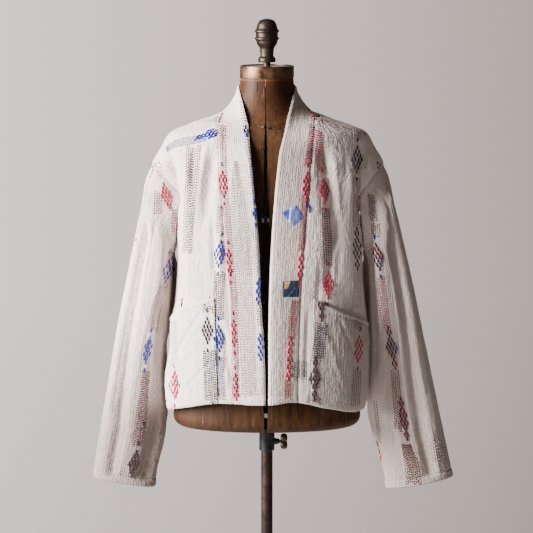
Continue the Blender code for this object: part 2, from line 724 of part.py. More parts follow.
def jacket(cotton, band_cotton, pocket_cotton):
    front_left = Cloth(front_grid(-1), flip=-1)
    front_right = Cloth(front_grid(1))
    back = Cloth(back_grid(), flip=-1)
    band = Cloth(band_grid(front_left.grid, front_right.grid, back.grid), flip=-1)
    under = len(ROWS_BELOW_ARMHOLE)
    tip = under + ARMHOLE_STEPS
    last = len(row_heights()) - 1
    sleeves = {}
    for side, front, column, beside, table, folds in (
            (-1, front_left, 0, 1, SLEEVE_LEFT, SLEEVE_FOLDS_LEFT),
            (1, front_right, -1, -2, SLEEVE_RIGHT, SLEEVE_FOLDS_RIGHT)):
        front_loop = front.grid[tip:under - 1:-1, -1]
        back_loop = back.grid[under + 1:tip, column]
        loop = np.vstack([front_loop, back_loop])
        sleeve = Cloth(sleeve_grid(table, folds, loop), flip=side, closed=True)
        sleeves[side] = sleeve
        split = SLEEVE_SPLIT
        half = ARMHOLE_STEPS * split
        front_line = np.arange(0, half + 1, split)
        back_line = np.append(np.arange(half, 2 * half, split), 0)
        front_rows = np.arange(tip, under - 1, -1)
        back_rows = np.arange(under, tip + 1)
        part_armhole(sleeve, front, (front_rows, -1, -2), front_line)
        part_armhole(sleeve, back, (back_rows, column, beside), back_line)
        spread_between_knots(sleeve)
        side_rows = np.arange(0, under + 1)
        draw_apart([(front, (side_rows, -1), (side_rows, -2)),
                    (back, (side_rows, column), (side_rows, beside))], SEAM_GAP)
        shoulder_rows = np.arange(tip, last + 1)
        draw_apart([(front, (shoulder_rows, -1), (shoulder_rows, -2)),
                    (back, (shoulder_rows, column), (shoulder_rows, beside))], SEAM_GAP)
        stations = np.arange(0, last + 1)
        band_stations = stations if side > 0 else len(band.grid) - 1 - stations
        draw_apart([(front, (stations, 0), (stations, 1)),
                    (band, (band_stations, 0), (band_stations, 1))], SEAM_GAP)
        front.shift[last, :] += unit(front.grid[last - 1] - front.grid[last]) * SEAM_GAP
    count = BACK_COLUMNS + 1
    neck_stations = np.arange(last + 2, last + 2 + count)
    neck_columns = np.arange(count)[::-1]
    draw_apart([(back, (-1, neck_columns), (-2, neck_columns)),
                (band, (neck_stations, 0), (neck_stations, 1))], SEAM_GAP)
    for station in (last + 1, len(band.grid) - 2 - last):
        band.shift[station, 0] += unit(band.grid[station, 1] - band.grid[station, 0]) * SEAM_GAP
    add_cloth("back_panel", back, cotton)
    add_cloth("front_left", front_left, cotton)
    add_cloth("front_right", front_right, cotton)
    add_cloth("sleeve_left", sleeves[-1], cotton)
    add_cloth("sleeve_right", sleeves[1], cotton)
    add_cloth("neckband", band, band_cotton, thickness=BAND_CLOTH, rise=QUILT_RISE / 2)
    for row, front in zip(POCKETS, (front_left, front_right)):
        pocket(*row, front, pocket_cotton)


def part_armhole(sleeve, panel, panel_line, sleeve_columns):
    """Open the seam between a panel's armhole edge and the sleeve's first ring."""
    rows, column, beside = panel_line
    edge = panel.grid[rows, column]
    from_panel = unit(panel.grid[rows, beside] - edge)
    from_sleeve = unit(sleeve.grid[1, sleeve_columns] - edge)
    apart = unit(from_panel - from_sleeve)
    mitre = unit(panel.normal[rows, column] + sleeve.normal[1, sleeve_columns])
    panel.shift[rows, column] += apart * SEAM_GAP / 2
    panel.normal[rows, column] = mitre
    sleeve.shift[0, sleeve_columns] = -apart * SEAM_GAP / 2
    sleeve.normal[0, sleeve_columns] = mitre


def spread_between_knots(sleeve):
    """Give the sleeve's in-between columns at the armhole the mean of their neighbours' directions."""
    columns = sleeve.grid.shape[1]
    for column in range(columns):
        step = column % SLEEVE_SPLIT
        if step == 0:
            continue
        low = column - step
        high = (low + SLEEVE_SPLIT) % columns
        part = step / SLEEVE_SPLIT
        for values in (sleeve.shift, sleeve.normal):
            values[0, column] = values[0, low] * (1 - part) + values[0, high] * part
    sleeve.normal[0] = unit(sleeve.normal[0])


# Pieces that lie on a panel

def pocket(side, mouth_in, mouth_mid, mouth_out, front, finish):
    """A patch pocket made from the front's own points, moved out."""
    first, last = POCKET_COLUMNS
    base = (front.grid + front.shift)[:POCKET_ROWS + 1, first:last + 1].copy()
    normal = front.normal[:POCKET_ROWS + 1, first:last + 1].copy()
    base[0] += (base[1] - base[0]) * POCKET_HEM
    across = np.linspace(0, 1, last - first + 1)
    mouth = np.interp(across, [0.0, POCKET_BEND, 1.0], [mouth_in, mouth_mid, mouth_out])
    share = (mouth - base[-2, :, 2]) / (base[-1, :, 2] - base[-2, :, 2])
    base[-1] = base[-2] + (base[-1] - base[-2]) * share[:, None]
    up = np.linspace(0, 1, POCKET_ROWS + 1)[:, None]
    belly = POCKET_BELLY * np.sin(math.pi * across)[None, :] * up ** 2
    outer = base + normal * (CLOTH + LAY_GAP + belly)[..., None]
    inner = outer - normal * CLOTH
    name = "pocket_left" if side < 0 else "pocket_right"
    add_node(name, wall_mesh(name, outer, inner, False), finish)


def patch(name, across, height, half_width, half_height, turned, finish):
    """A small patch sewn on the neckband's right half, made from the band's own surface."""
    span = np.linspace(-1, 1, PATCH_STEPS + 1)
    points = np.zeros((len(span), len(span), 3))
    for r, v in enumerate(span):
        for c, u in enumerate(span):
            if turned:
                x = across + half_width * (u + v) / 2
                z = height + half_height * (v - u) / 2
            else:
                x = across + half_width * u
                z = height + half_height * v
            points[r, c] = body_section(np.array([angle_at_x(x, z)]), z)[0]
    piece = Cloth(points)
    outer = points + piece.normal * (PATCH_CLOTH + LAY_GAP)
    inner = outer - piece.normal * PATCH_CLOTH
    add_node(name, wall_mesh(name, outer, inner, False), finish)


# The dress form

def form_rows():
    """Height, half width, front, back and slot of each row, from the hole in the underside up."""
    low = FORM_FLOOR + FORM_CORNER
    width, front, back, slot = read_table(FORM_SECTIONS, low)[0]
    rows = [(FORM_FLOOR, FORM_HOLE, FORM_HOLE, FORM_HOLE, slot),
            (FORM_FLOOR, width * 0.5, front * 0.5, back * 0.5, slot)]
    for degrees in (0, 30, 60):
        turn = math.radians(degrees)
        inset = FORM_CORNER * (1 - math.sin(turn))
        height = FORM_FLOOR + FORM_CORNER * (1 - math.cos(turn))
        rows.append((height, width - inset, front - inset, back - inset, slot))
    for section in FORM_SECTIONS:
        rows.append(section)
    return rows


def form_grid(side):
    """Rows from the hole in the underside up, columns from the front of the slot round to its back."""
    turns = np.linspace(0, math.pi, FORM_COLUMNS + 1)
    s = np.sin(turns) ** (2 / FORM_ROUNDNESS)
    c = signed_power(np.cos(turns), 2 / FORM_ROUNDNESS)
    rows = []
    for height, width, front, back, slot in form_rows():
        start = SLOT_X + side * slot
        x = start + (side * width - start) * s
        y = -np.where(c > 0, front, back) * c
        rows.append(np.column_stack([x, y, np.full_like(x, height)]))
    return np.array(rows)


def form_half(side, finish):
    shell = Cloth(form_grid(side), flip=side)
    shell.normal[:, (0, -1), 0] = 0.0
    shell.normal[-1, :, 2] = 0.0
    shell.normal[:3] = (0.0, 0.0, -1.0)
    shell.normal = unit(shell.normal)
    inner = shell.grid - shell.normal * FORM_WALL
    name = "form_half_left" if side < 0 else "form_half_right"
    add_node(name, wall_mesh(name, shell.grid, inner, False), finish, smooth_angle=60)


# Turned and machined pieces

def turned(name, profile, finish, closed=False, steps=ROUND_STEPS):
    """A turned piece from (radius, height) points that run down its outer side."""
    data = bpy.data.meshes.new(name)
    verts = [(radius, 0.0, height) for radius, height in profile]
    edges = [(k, k + 1) for k in range(len(profile) - 1)]
    if closed:
        edges.append((len(profile) - 1, 0))
    data.from_pydata(verts, edges, [])
    node = bpy.data.objects.new(name, data)
    PART_COLLECTION.objects.link(node)
    data.materials.append(finish)
    spin = node.modifiers.new("turn", "SCREW")
    spin.steps = steps
    spin.render_steps = steps
    spin.use_merge_vertices = True
    spin.merge_threshold = 0.00001
    spin.use_smooth_shade = True
    return node


def cone(name, root, tip, length, segments=16):
    """A cone or cylinder mesh along Z, centred on the origin."""
    made = bmesh.new()
    bmesh.ops.create_cone(made, cap_ends=True, segments=segments, radius1=root, radius2=tip, depth=length)
    data = bpy.data.meshes.new(name)
    made.to_mesh(data)
    made.free()
    return data


def lay_along_x(piece, start, end, height):
    """Turn a piece made along Z to run along X between two distances from the pole's axis."""
    piece.rotation_euler = (0.0, math.pi / 2, 0.0)
    piece.location = ((start + end) / 2, 0.0, height)


def combine(piece, cutter, operation):
    """Join a hidden body to a piece, or cut it out of the piece."""
    CUTTER_COLLECTION.objects.link(cutter)
    cutter.hide_render = True
    cutter.display_type = "WIRE"
    change = piece.modifiers.new(cutter.name, "BOOLEAN")
    change.operation = operation
    change.object = cutter


def stand(bronze, iron):
    top = BASE_PROFILE[0][1]
    socket = [(0.0, SOCKET_FLOOR), (COLLAR_BORE, SOCKET_FLOOR), (COLLAR_BORE, top)]
    turned("stand_base", socket + BASE_PROFILE + [(0.0, 0.0)], iron, steps=28)
    foot = SOCKET_FLOOR + SEAM_GAP
    data = cone("stand_pole", POLE_RADIUS, POLE_RADIUS, POLE_TOP - foot, ROUND_STEPS)
    pole = add_node("stand_pole", data, bronze)
    pole.location = (0.0, 0.0, (POLE_TOP + foot) / 2)


def collar(black):
    """The clamp under the form: a bored tube with a flange on top and a boss for the thumbscrew."""
    top = FORM_FLOOR - SEAM_GAP
    under_flange = top - FLANGE_THICKNESS
    profile = [(COLLAR_BORE, top), (FLANGE_RADIUS, top), (FLANGE_RADIUS, under_flange),
               (COLLAR_RADIUS, under_flange), (COLLAR_RADIUS, COLLAR_LOW), (COLLAR_BORE, COLLAR_LOW)]
    node = turned("clamp_collar", profile, black, closed=True)
    boss = bpy.data.objects.new("boss", cone("boss", BOSS_RADIUS, BOSS_TIP, BOSS_REACH - BOSS_ROOT))
    lay_along_x(boss, BOSS_ROOT, BOSS_REACH, SCREW_HEIGHT)
    combine(node, boss, "UNION")
    data = cone("screw_bore", SCREW_BORE, SCREW_BORE, SCREW_BORE_END - SCREW_BORE_START)
    bore = bpy.data.objects.new("screw_bore", data)
    lay_along_x(bore, SCREW_BORE_START, SCREW_BORE_END, SCREW_HEIGHT)
    combine(node, bore, "DIFFERENCE")


def thumbscrew(black):
    """A stem through the boss with a two-lobed wing on its end, turned about its own axis."""
    end = WING_START + SCREW_INTO_WING
    stem = bpy.data.objects.new("thumbscrew", cone("thumbscrew", SCREW_RADIUS, SCREW_RADIUS, end - SCREW_POINT))
    PART_COLLECTION.objects.link(stem)
    stem.data.materials.append(black)
    lay_along_x(stem, SCREW_POINT, end, SCREW_HEIGHT)
    for k, lift in enumerate((-WING_SPREAD, WING_SPREAD)):
        name = f"wing_lobe_{k}"
        lobe = bpy.data.objects.new(name, cone(name, WING_LOBE, WING_LOBE, WING_THICKNESS, 20))
        lay_along_x(lobe, WING_START, WING_START + WING_THICKNESS, SCREW_HEIGHT + lift)
        combine(stem, lobe, "UNION")


def cap_and_finial(copper, bronze):
    plate = CAP_TOP - CAP_RECESS
    bore = CAP_RADIUS - CAP_RIM
    turned("neck_cap", [
        (0.0, plate), (bore, plate), (bore, CAP_TOP), (CAP_RADIUS - CAP_EASE, CAP_TOP),
        (CAP_RADIUS, CAP_TOP - CAP_EASE), (CAP_RADIUS, CAP_LOW + CAP_EASE), (CAP_RADIUS - CAP_EASE, CAP_LOW),
        (0.0, CAP_LOW)], copper, steps=28)
    foot = plate + SEAM_GAP
    stem = [(FINIAL_STEM, FINIAL[-1][0]), (FINIAL_STEM, foot), (0.0, foot)]
    turned("finial", [(radius, height) for height, radius in FINIAL] + stem, bronze)


def form_depth(x, height):
    """Depth of the form's front at a place across and up, read off the form's own facets."""
    side = 1 if x > SLOT_X else -1
    grid = form_grid(side)[3:, :FORM_COLUMNS // 2 + 1]
    depths = [np.interp(side * x, side * row[:, 0], row[:, 1]) for row in grid]
    return float(np.interp(height, grid[:, 0, 2], depths))


def screw_head(name, x, height, finish):
    """A flat round head seated on the form, square to its surface."""
    step = 0.002
    across = Vector((2 * step, form_depth(x + step, height) - form_depth(x - step, height), 0.0))
    up = Vector((0.0, form_depth(x, height + step) - form_depth(x, height - step), 2 * step))
    out = across.cross(up).normalized()
    head = add_node(name, cone(name, HEAD_RADIUS, HEAD_RADIUS, HEAD_THICKNESS, 12), finish)
    head.rotation_euler = out.to_track_quat("Z", "Y").to_euler()
    seat = Vector((x, form_depth(x, height), height))
    head.location = seat + out * (HEAD_THICKNESS / 2 + HEAD_SEAT)


def small_metal(steel, black):
    """Screw heads on the form, and the spreader that bridges its slot."""
    for name, x, height in SCREW_HEADS:
        screw_head(name, x, height, steel)
    slot = read_table(FORM_SECTIONS, SPREADER_HEIGHT + SPREADER_TALL / 2)[0][3] - SEAM_GAP
    depth = form_depth(SLOT_X, SPREADER_HEIGHT) + FORM_WALL / 2
    bar_size = (2 * slot, SPREADER_THICK, SPREADER_TALL)
    box_node("spreader_bar", (SLOT_X, depth + SPREADER_STEP, SPREADER_HEIGHT), bar_size, black)
    tab = slot * TAB_SHARE
    for side, name in ((-1, "spreader_tab_left"), (1, "spreader_tab_right")):
        across = SLOT_X + side * (slot - tab / 2)
        box_node(name, (across, depth - SPREADER_STEP + SEAM_GAP, SPREADER_HEIGHT),
                 (tab, SPREADER_THICK, TAB_TALL), steel)
    slot = read_table(FORM_SECTIONS, SPACER_HEIGHT)[0][3] - SEAM_GAP
    depth = form_depth(SLOT_X, SPACER_HEIGHT) + FORM_WALL / 2
    box_node("slot_spacer", (SLOT_X, depth, SPACER_HEIGHT), (2 * slot, SPACER_THICK, SPACER_TALL), steel)


def box_node(name, centre, size, finish):
    made = bmesh.new()
    bmesh.ops.create_cube(made, size=1.0)
    bmesh.ops.scale(made, vec=size, verts=made.verts)
    data = bpy.data.meshes.new(name)
    made.to_mesh(data)
    made.free()
    node = add_node(name, data, finish)
    node.location = centre
    return node


def main():
    clear_scene()
    cotton = material("cream_cotton", (0.86, 0.82, 0.77), 0.92)
    band_cotton = material("cream_cotton_band", (0.87, 0.83, 0.78), 0.92)
    pocket_cotton = material("cream_cotton_pocket", (0.88, 0.84, 0.80), 0.92)
    blue_cloth = material("blue_patch_cloth", (0.16, 0.24, 0.60), 0.90)
    navy_cloth = material("navy_patch_cloth", (0.04, 0.06, 0.16), 0.90)
    wood = material("worn_brown_wood", (0.20, 0.11, 0.07), 0.55)
    copper = material("worn_copper", (0.42, 0.24, 0.14), 0.38, 0.9)
    bronze = material("dark_bronze", (0.10, 0.08, 0.06), 0.42, 0.8)
    black = material("black_steel", (0.02, 0.02, 0.02), 0.45, 0.6)
    iron = material("dark_cast_iron", (0.05, 0.045, 0.04), 0.60, 0.7)
    steel = material("pale_steel", (0.55, 0.54, 0.52), 0.40, 0.9)
    jacket(cotton, band_cotton, pocket_cotton)
    for row, finish in zip(PATCHES, (blue_cloth, navy_cloth)):
        patch(*row, finish)
    form_half(-1, wood)
    form_half(1, wood)
    stand(bronze, iron)
    collar(black)
    thumbscrew(black)
    cap_and_finial(copper, bronze)
    small_metal(steel, black)


main()
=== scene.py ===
"""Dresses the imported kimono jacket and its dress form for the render.

Metres, in the row frame: X to the viewer's right, Y away from the viewer, Z up from the floor.
The cloth pieces are thin shells on the solids' own form, from the same named sizes as the solids.
"""
import math

import bmesh
import bpy
import numpy as np
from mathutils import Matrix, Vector
from mathutils.bvhtree import BVHTree


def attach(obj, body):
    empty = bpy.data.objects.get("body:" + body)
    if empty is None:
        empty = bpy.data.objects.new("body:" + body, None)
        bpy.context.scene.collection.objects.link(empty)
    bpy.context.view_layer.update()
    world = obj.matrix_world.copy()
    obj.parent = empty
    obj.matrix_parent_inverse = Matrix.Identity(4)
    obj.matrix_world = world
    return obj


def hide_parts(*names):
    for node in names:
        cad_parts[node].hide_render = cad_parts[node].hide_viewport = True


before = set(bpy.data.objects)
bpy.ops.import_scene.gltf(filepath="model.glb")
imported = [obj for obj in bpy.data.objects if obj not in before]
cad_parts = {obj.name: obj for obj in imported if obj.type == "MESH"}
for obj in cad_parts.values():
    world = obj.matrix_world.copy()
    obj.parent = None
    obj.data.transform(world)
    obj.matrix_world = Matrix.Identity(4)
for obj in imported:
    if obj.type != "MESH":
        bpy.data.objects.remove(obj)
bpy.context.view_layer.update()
SIDES = {-1: "left", 1: "right"}       # the sign of X and the word for each side

# Sizes shared with the solids
CLOTH = 0.002
BAND_CLOTH = 0.003
QUILT_RISE = 0.0007
LAY_GAP = QUILT_RISE + 0.0004

BODY_SECTIONS = [
    # height  left    right   front   back    round
    (0.770, 0.2045, 0.1960, 0.1290, 0.1230, 2.6),
    (0.800, 0.2085, 0.2065, 0.1300, 0.1240, 2.6),
    (0.840, 0.2100, 0.2095, 0.1310, 0.1250, 2.6),
    (0.880, 0.2050, 0.2105, 0.1310, 0.1250, 2.6),
    (0.915, 0.1995, 0.2105, 0.1305, 0.1245, 2.6),
    (0.966, 0.1980, 0.2080, 0.1290, 0.1230, 2.6),
    (1.010, 0.1900, 0.2030, 0.1270, 0.1210, 2.6),
    (1.090, 0.1850, 0.1975, 0.1255, 0.1190, 2.6),
    (1.165, 0.1890, 0.1990, 0.1260, 0.1185, 2.45),
    (1.216, 0.2000, 0.2090, 0.1260, 0.1180, 2.2),
    (1.239, 0.2095, 0.2180, 0.1250, 0.1165, 2.05),
    (1.262, 0.2250, 0.2320, 0.1230, 0.1145, 1.9),
    (1.288, 0.2360, 0.2405, 0.1200, 0.1120, 1.8),
    (1.330, 0.2155, 0.2200, 0.1130, 0.1050, 1.8),
    (1.352, 0.2030, 0.2080, 0.1060, 0.0990, 1.9),
    (1.361, 0.1908, 0.1970, 0.1020, 0.0950, 1.95),
    (1.371, 0.1661, 0.1730, 0.0960, 0.0900, 2.0),
    (1.381, 0.1400, 0.1435, 0.0900, 0.0850, 2.1),
    (1.388, 0.1150, 0.1240, 0.0850, 0.0810, 2.2),
    (1.394, 0.1010, 0.1090, 0.0800, 0.0775, 2.3),
    (1.3985, 0.0925, 0.0950, 0.0770, 0.0755, 2.3),
]
HEM_SIDE = 0.777
HEM_FRONT_LIFT = 0.029
HEM_BACK_LIFT = 0.004
HEM_BLEND_TOP = 1.010
HEM_SQUARENESS = 0.8
HEM_WAVE_TOP = 0.880
HEM_WAVE = [
    # across  rise of the front's hem
    (-0.1840, 0.0000),
    (-0.1520, 0.0030),
    (-0.1240, 0.0070),
    (-0.0990, 0.0090),
    (-0.0670, 0.0085),
    (-0.0380, 0.0065),
    (0.0000, 0.0060),
    (0.0225, 0.0080),
    (0.0450, 0.0115),
    (0.0660, 0.0105),
    (0.0880, 0.0065),
    (0.1135, 0.0000),
    (0.1360, -0.0030),
    (0.1610, -0.0070),
    (0.1820, -0.0070),
    (0.2050, 0.0000),
]
UNDERARM = 1.1225
SHOULDER_TIP = 1.288
ARMHOLE_REACH = 0.048
TIP_REACH = 0.010
SHOULDER_SEAM_REACH = 0.020
SHOULDER_SEAM_END = 1.392
BACK_NECK = 1.3985
BACK_NECK_REACH = 0.004

BAND_LINES = [
    # height  seam_l  seam_r  edge_l  edge_r
    (0.770, 0.0680, 0.0640, 0.0026, 0.0024),
    (0.850, 0.0705, 0.0650, 0.0034, 0.0030),
    (0.922, 0.0740, 0.0663, 0.0053, 0.0028),
    (1.025, 0.0795, 0.0692, 0.0118, 0.0042),
    (1.128, 0.0861, 0.0765, 0.0153, 0.0080),
    (1.230, 0.0925, 0.0839, 0.0239, 0.0153),
    (1.330, 0.1003, 0.0927, 0.0339, 0.0263),
    (1.386, 0.1012, 0.0980, 0.0420, 0.0390),
    (1.392, 0.0985, 0.0975, 0.0440, 0.0410),
]
BAND_FLAT_TOP = 1.330       # below this the band lies flat on the fronts' own form
NECK_EDGE = [
    # across  depth    height
    (0.0365, -0.0860, 1.368),
    (0.0425, -0.0740, 1.391),
    (0.0485, -0.0600, 1.412),
    (0.0545, -0.0400, 1.430),
    (0.0595, -0.0150, 1.446),
    (0.0605, 0.0060, 1.452),
    (0.0520, 0.0380, 1.457),
    (0.0290, 0.0590, 1.459),
    (0.0000, 0.0655, 1.460),
]
NECK_HUG = 0.0035

BODY_FOLDS = [
    # face  x_top   z_top  x_low   z_low  half_width height
    (-1, -0.1980, 1.335, -0.1830, 1.190, 0.0120, -0.011),
    (-1, 0.1950, 1.345, 0.1900, 1.180, 0.0120, -0.011),
    (-1, -0.1050, 1.345, -0.1300, 1.160, 0.0110, -0.007),
    (-1, 0.1120, 1.350, 0.1420, 1.120, 0.0120, -0.008),
    (-1, 0.1400, 1.200, 0.1200, 1.030, 0.0120, -0.006),
    (-1, -0.1620, 1.320, -0.1560, 1.020, 0.0150, 0.005),
    (-1, 0.1700, 1.300, 0.1760, 1.010, 0.0140, 0.005),
    (-1, 0.0040, 1.100, 0.0010, 0.735, 0.0580, 0.0095),
    (1, -0.1300, 1.330, -0.1100, 1.040, 0.0160, -0.007),
    (1, 0.1250, 1.330, 0.1150, 1.000, 0.0160, -0.007),
    (1, -0.0400, 1.250, -0.0500, 0.860, 0.0180, 0.005),
    (1, 0.0520, 1.220, 0.0450, 0.880, 0.0180, 0.005),
    (1, -0.1930, 1.300, -0.1830, 1.180, 0.0120, -0.008),
    (1, 0.1940, 1.300, 0.1900, 1.180, 0.0120, -0.008),
]
# Smaller creases that only show in the cloth of the scene
BODY_CREASES = [
    # face  x_top   z_top  x_low   z_low  half_width height
    (-1, -0.1960, 1.322, -0.1835, 1.200, 0.0055, -0.0045),
    (-1, 0.1935, 1.330, 0.1900, 1.200, 0.0055, -0.0040),
    (-1, -0.1210, 1.352, -0.1420, 1.200, 0.0060, 0.0036),
    (-1, -0.1480, 1.345, -0.1530, 1.230, 0.0055, -0.0034),
    (-1, -0.1700, 1.300, -0.1720, 1.150, 0.0060, -0.0034),
    (-1, -0.1120, 1.240, -0.1060, 1.060, 0.0055, -0.0030),
    (-1, -0.0980, 1.180, -0.0930, 1.050, 0.0045, 0.0024),
    (-1, -0.0880, 0.985, -0.0740, 0.830, 0.0070, -0.0038),
    (-1, -0.0780, 0.905, -0.0820, 0.800, 0.0045, 0.0022),
    (-1, 0.1000, 1.345, 0.1120, 1.180, 0.0050, -0.0012),
    (-1, 0.1350, 1.330, 0.1500, 1.180, 0.0055, 0.0014),
    (-1, 0.1560, 1.340, 0.1640, 1.230, 0.0045, -0.0010),
    (-1, 0.1500, 1.150, 0.1420, 1.040, 0.0055, -0.0022),
    (-1, 0.1080, 1.120, 0.1020, 1.000, 0.0055, -0.0022),
    (-1, 0.0840, 1.020, 0.0770, 0.820, 0.0050, -0.0024),
    (1, -0.1500, 1.340, -0.1380, 1.180, 0.0055, 0.0024),
    (1, -0.0900, 1.300, -0.0800, 1.080, 0.0060, -0.0024),
    (1, -0.0180, 1.380, -0.0100, 1.220, 0.0060, -0.0022),
    (1, 0.0200, 1.200, 0.0120, 0.960, 0.0060, -0.0026),
    (1, 0.0830, 1.330, 0.0900, 1.120, 0.0055, 0.0022),
    (1, 0.1550, 1.220, 0.1480, 1.020, 0.0060, -0.0024),
    (1, -0.1320, 1.020, -0.1250, 0.840, 0.0060, -0.0026),
    (1, 0.0900, 0.980, 0.0960, 0.820, 0.0065, 0.0024),
]
FOLD_END = 0.045

SLEEVE_LEFT = [
    # outer_x outer_z  inner_x inner_z half_depth middle_y
    (-0.2360, 1.2880, -0.1870, 1.1225, 0.0480, 0.000),
    (-0.2495, 1.2600, -0.1915, 1.1050, 0.0530, 0.001),
    (-0.2570, 1.2150, -0.1950, 1.0850, 0.0570, 0.002),
    (-0.2687, 1.1600, -0.1980, 1.0300, 0.0600, 0.006),
    (-0.2892, 1.0600, -0.2035, 0.9650, 0.0600, 0.012),
    (-0.3098, 0.9600, -0.2145, 0.8850, 0.0560, 0.018),
    (-0.3273, 0.8600, -0.2160, 0.8050, 0.0500, 0.022),
    (-0.3450, 0.7565, -0.2110, 0.7350, 0.0420, 0.022),
    (-0.3620, 0.6540, -0.2300, 0.6450, 0.0350, 0.020),
    (-0.3645, 0.6310, -0.2350, 0.6100, 0.0340, 0.020),
]
SLEEVE_RIGHT = [
    # outer_x outer_z  inner_x inner_z half_depth middle_y
    (0.2405, 1.2880, 0.1980, 1.1225, 0.0480, 0.000),
    (0.2520, 1.2600, 0.2035, 1.1050, 0.0530, 0.001),
    (0.2615, 1.2150, 0.2085, 1.0850, 0.0570, 0.002),
    (0.2754, 1.1600, 0.2105, 1.0300, 0.0610, 0.006),
    (0.2989, 1.0600, 0.2130, 0.9650, 0.0600, 0.010),
    (0.3206, 0.9600, 0.2170, 0.8850, 0.0560, 0.014),
    (0.3413, 0.8600, 0.2150, 0.8050, 0.0510, 0.018),
    (0.3642, 0.7565, 0.2190, 0.7350, 0.0430, 0.018),
    (0.3860, 0.6540, 0.2440, 0.6450, 0.0360, 0.016),
    (0.3906, 0.6330, 0.2505, 0.6070, 0.0350, 0.016),
]
SLEEVE_ROUNDNESS = 2.3
SLEEVE_SETTLE = 0.18
SLEEVE_FOLDS = {
    # turn_top share_top turn_low share_low half_turn height, for the left and the right sleeve
    -1: [
        (62, 0.22, 66, 0.97, 11, -0.009),
        (105, 0.10, 118, 0.75, 14, 0.005),
        (36, 0.12, 40, 0.80, 13, 0.004),
        (-60, 0.20, -70, 0.90, 14, -0.008),
        (-110, 0.10, -105, 0.70, 15, 0.005),
        (-145, 0.13, -145, 0.54, 16, 0.015),
    ],
    1: [
        (66, 0.25, 72, 0.97, 11, -0.009),
        (112, 0.12, 116, 0.80, 14, 0.005),
        (38, 0.12, 44, 0.85, 12, 0.004),
        (-64, 0.20, -66, 0.92, 14, -0.008),
        (-112, 0.10, -108, 0.75, 15, 0.005),
        (-145, 0.13, -145, 0.54, 16, 0.016),
    ],
}
SLEEVE_CREASES = {
    -1: [
        (84, 0.14, 80, 0.46, 4.5, -0.0022),
        (52, 0.30, 50, 0.80, 4.0, -0.0018),
        (76, 0.50, 78, 0.92, 4.0, -0.0018),
        (98, 0.42, 88, 0.70, 4.0, 0.0016),
        (128, 0.74, 108, 0.97, 6.0, -0.0040),
        (148, 0.10, 146, 0.62, 10.0, -0.0060),
        (138, 0.38, 136, 0.99, 25.0, -0.0110),
        (-138, 0.05, -145, 0.42, 18.0, 0.0060),
        (-146, 0.48, -152, 0.80, 18.0, 0.0120),
        (22, 0.20, 26, 0.85, 5.0, -0.0014),
        (-40, 0.12, -44, 0.60, 5.0, -0.0022),
        (-84, 0.30, -80, 0.85, 4.5, 0.0020),
        (-128, 0.20, -120, 0.62, 5.0, -0.0024),
    ],
    1: [
        (24, 0.08, 32, 0.30, 4.5, -0.0024),
        (54, 0.10, 60, 0.55, 4.5, -0.0020),
        (86, 0.34, 90, 0.88, 4.0, -0.0018),
        (52, 0.52, 56, 0.95, 4.5, 0.0020),
        (100, 0.62, 104, 0.95, 5.0, 0.0016),
        (144, 0.05, 146, 0.62, 11.0, -0.0070),
        (-138, 0.05, -145, 0.42, 18.0, 0.0090),
        (-146, 0.48, -152, 0.82, 18.0, 0.0120),
        (-42, 0.14, -40, 0.66, 5.0, -0.0022),
        (-86, 0.34, -88, 0.90, 4.5, 0.0020),
        (-130, 0.22, -122, 0.66, 5.0, -0.0024),
    ],
}
SLEEVE_FOLD_END = 0.08

POCKETS = {
    # mouth heights: at the neckband's side, in the middle, at the side seam
    -1: (1.0310, 1.0095, 0.9740),
    1: (1.0295, 0.9960, 0.9635),
}
# Where each pocket starts and ends, as shares across the front from the neckband's seam
POCKET_SPAN = {-1: (0.150, 0.875), 1: (0.125, 0.875)}
POCKET_BEND = 0.45          # share of the pocket's width at which its mouth starts to drop
POCKET_FOOT = 0.0019
POCKET_BELLY = 0.0042       # stands further out than the solid's, so that the mouth shows
POCKET_CREASES = {
    # across_top up_top across_low up_low half_width height
    -1: [(0.14, 0.96, 0.80, 0.46, 0.0060, -0.0024), (0.30, 0.62, 0.82, 0.30, 0.0080, 0.0018),
         (0.06, 0.45, 0.50, 0.12, 0.0060, -0.0016)],
    1: [(0.30, 0.97, 0.62, 0.50, 0.0065, -0.0012), (0.14, 0.80, 0.40, 0.22, 0.0075, 0.0010),
        (0.70, 0.70, 0.86, 0.20, 0.0055, -0.0010)],
}
# A turned hem: its width, the rise of its double thickness and the reach of that step, the reach of the line
# of stitches, and the rounded fold at the edge
HEM_WIDTH = 0.0165
HEM_RISE = 0.0010
HEM_STEP = 0.0025
HEM_LINE = 0.0016
HEM_DROP = 0.0014
HEM_ROUND = 0.0024
# An edge that is only folded over
FOLD_DROP = 0.0023
FOLD_ROUND = 0.0042
# How far a pocket presses the front in along its mouth and along its inner edge
MOUTH_PRESS = 0.0016
EDGE_PRESS = 0.0010

# Sharp puckers that the rows of stitches draw in
PUCKERS = [
    # seed  wide   tall    height   power  only in patches
    (2, 0.0090, 0.0200, 0.00060, 1.6, True),
    (3, 0.0190, 0.0550, 0.00045, 1.4, True),
    (6, 0.0065, 0.0110, 0.00032, 1.5, False),
]
RIDGE_MEAN = 0.00015        # height of the ridges between the rows, and how much it varies
RIDGE_SPREAD = 0.00012
SEED_HEIGHT = 0.00034       # small seeds and slubs
SWELL_HEIGHT = 0.0010       # slow unevenness
SOFT_MEAN = 0.0011          # the cloth's unevenness lies about this far over its plain form

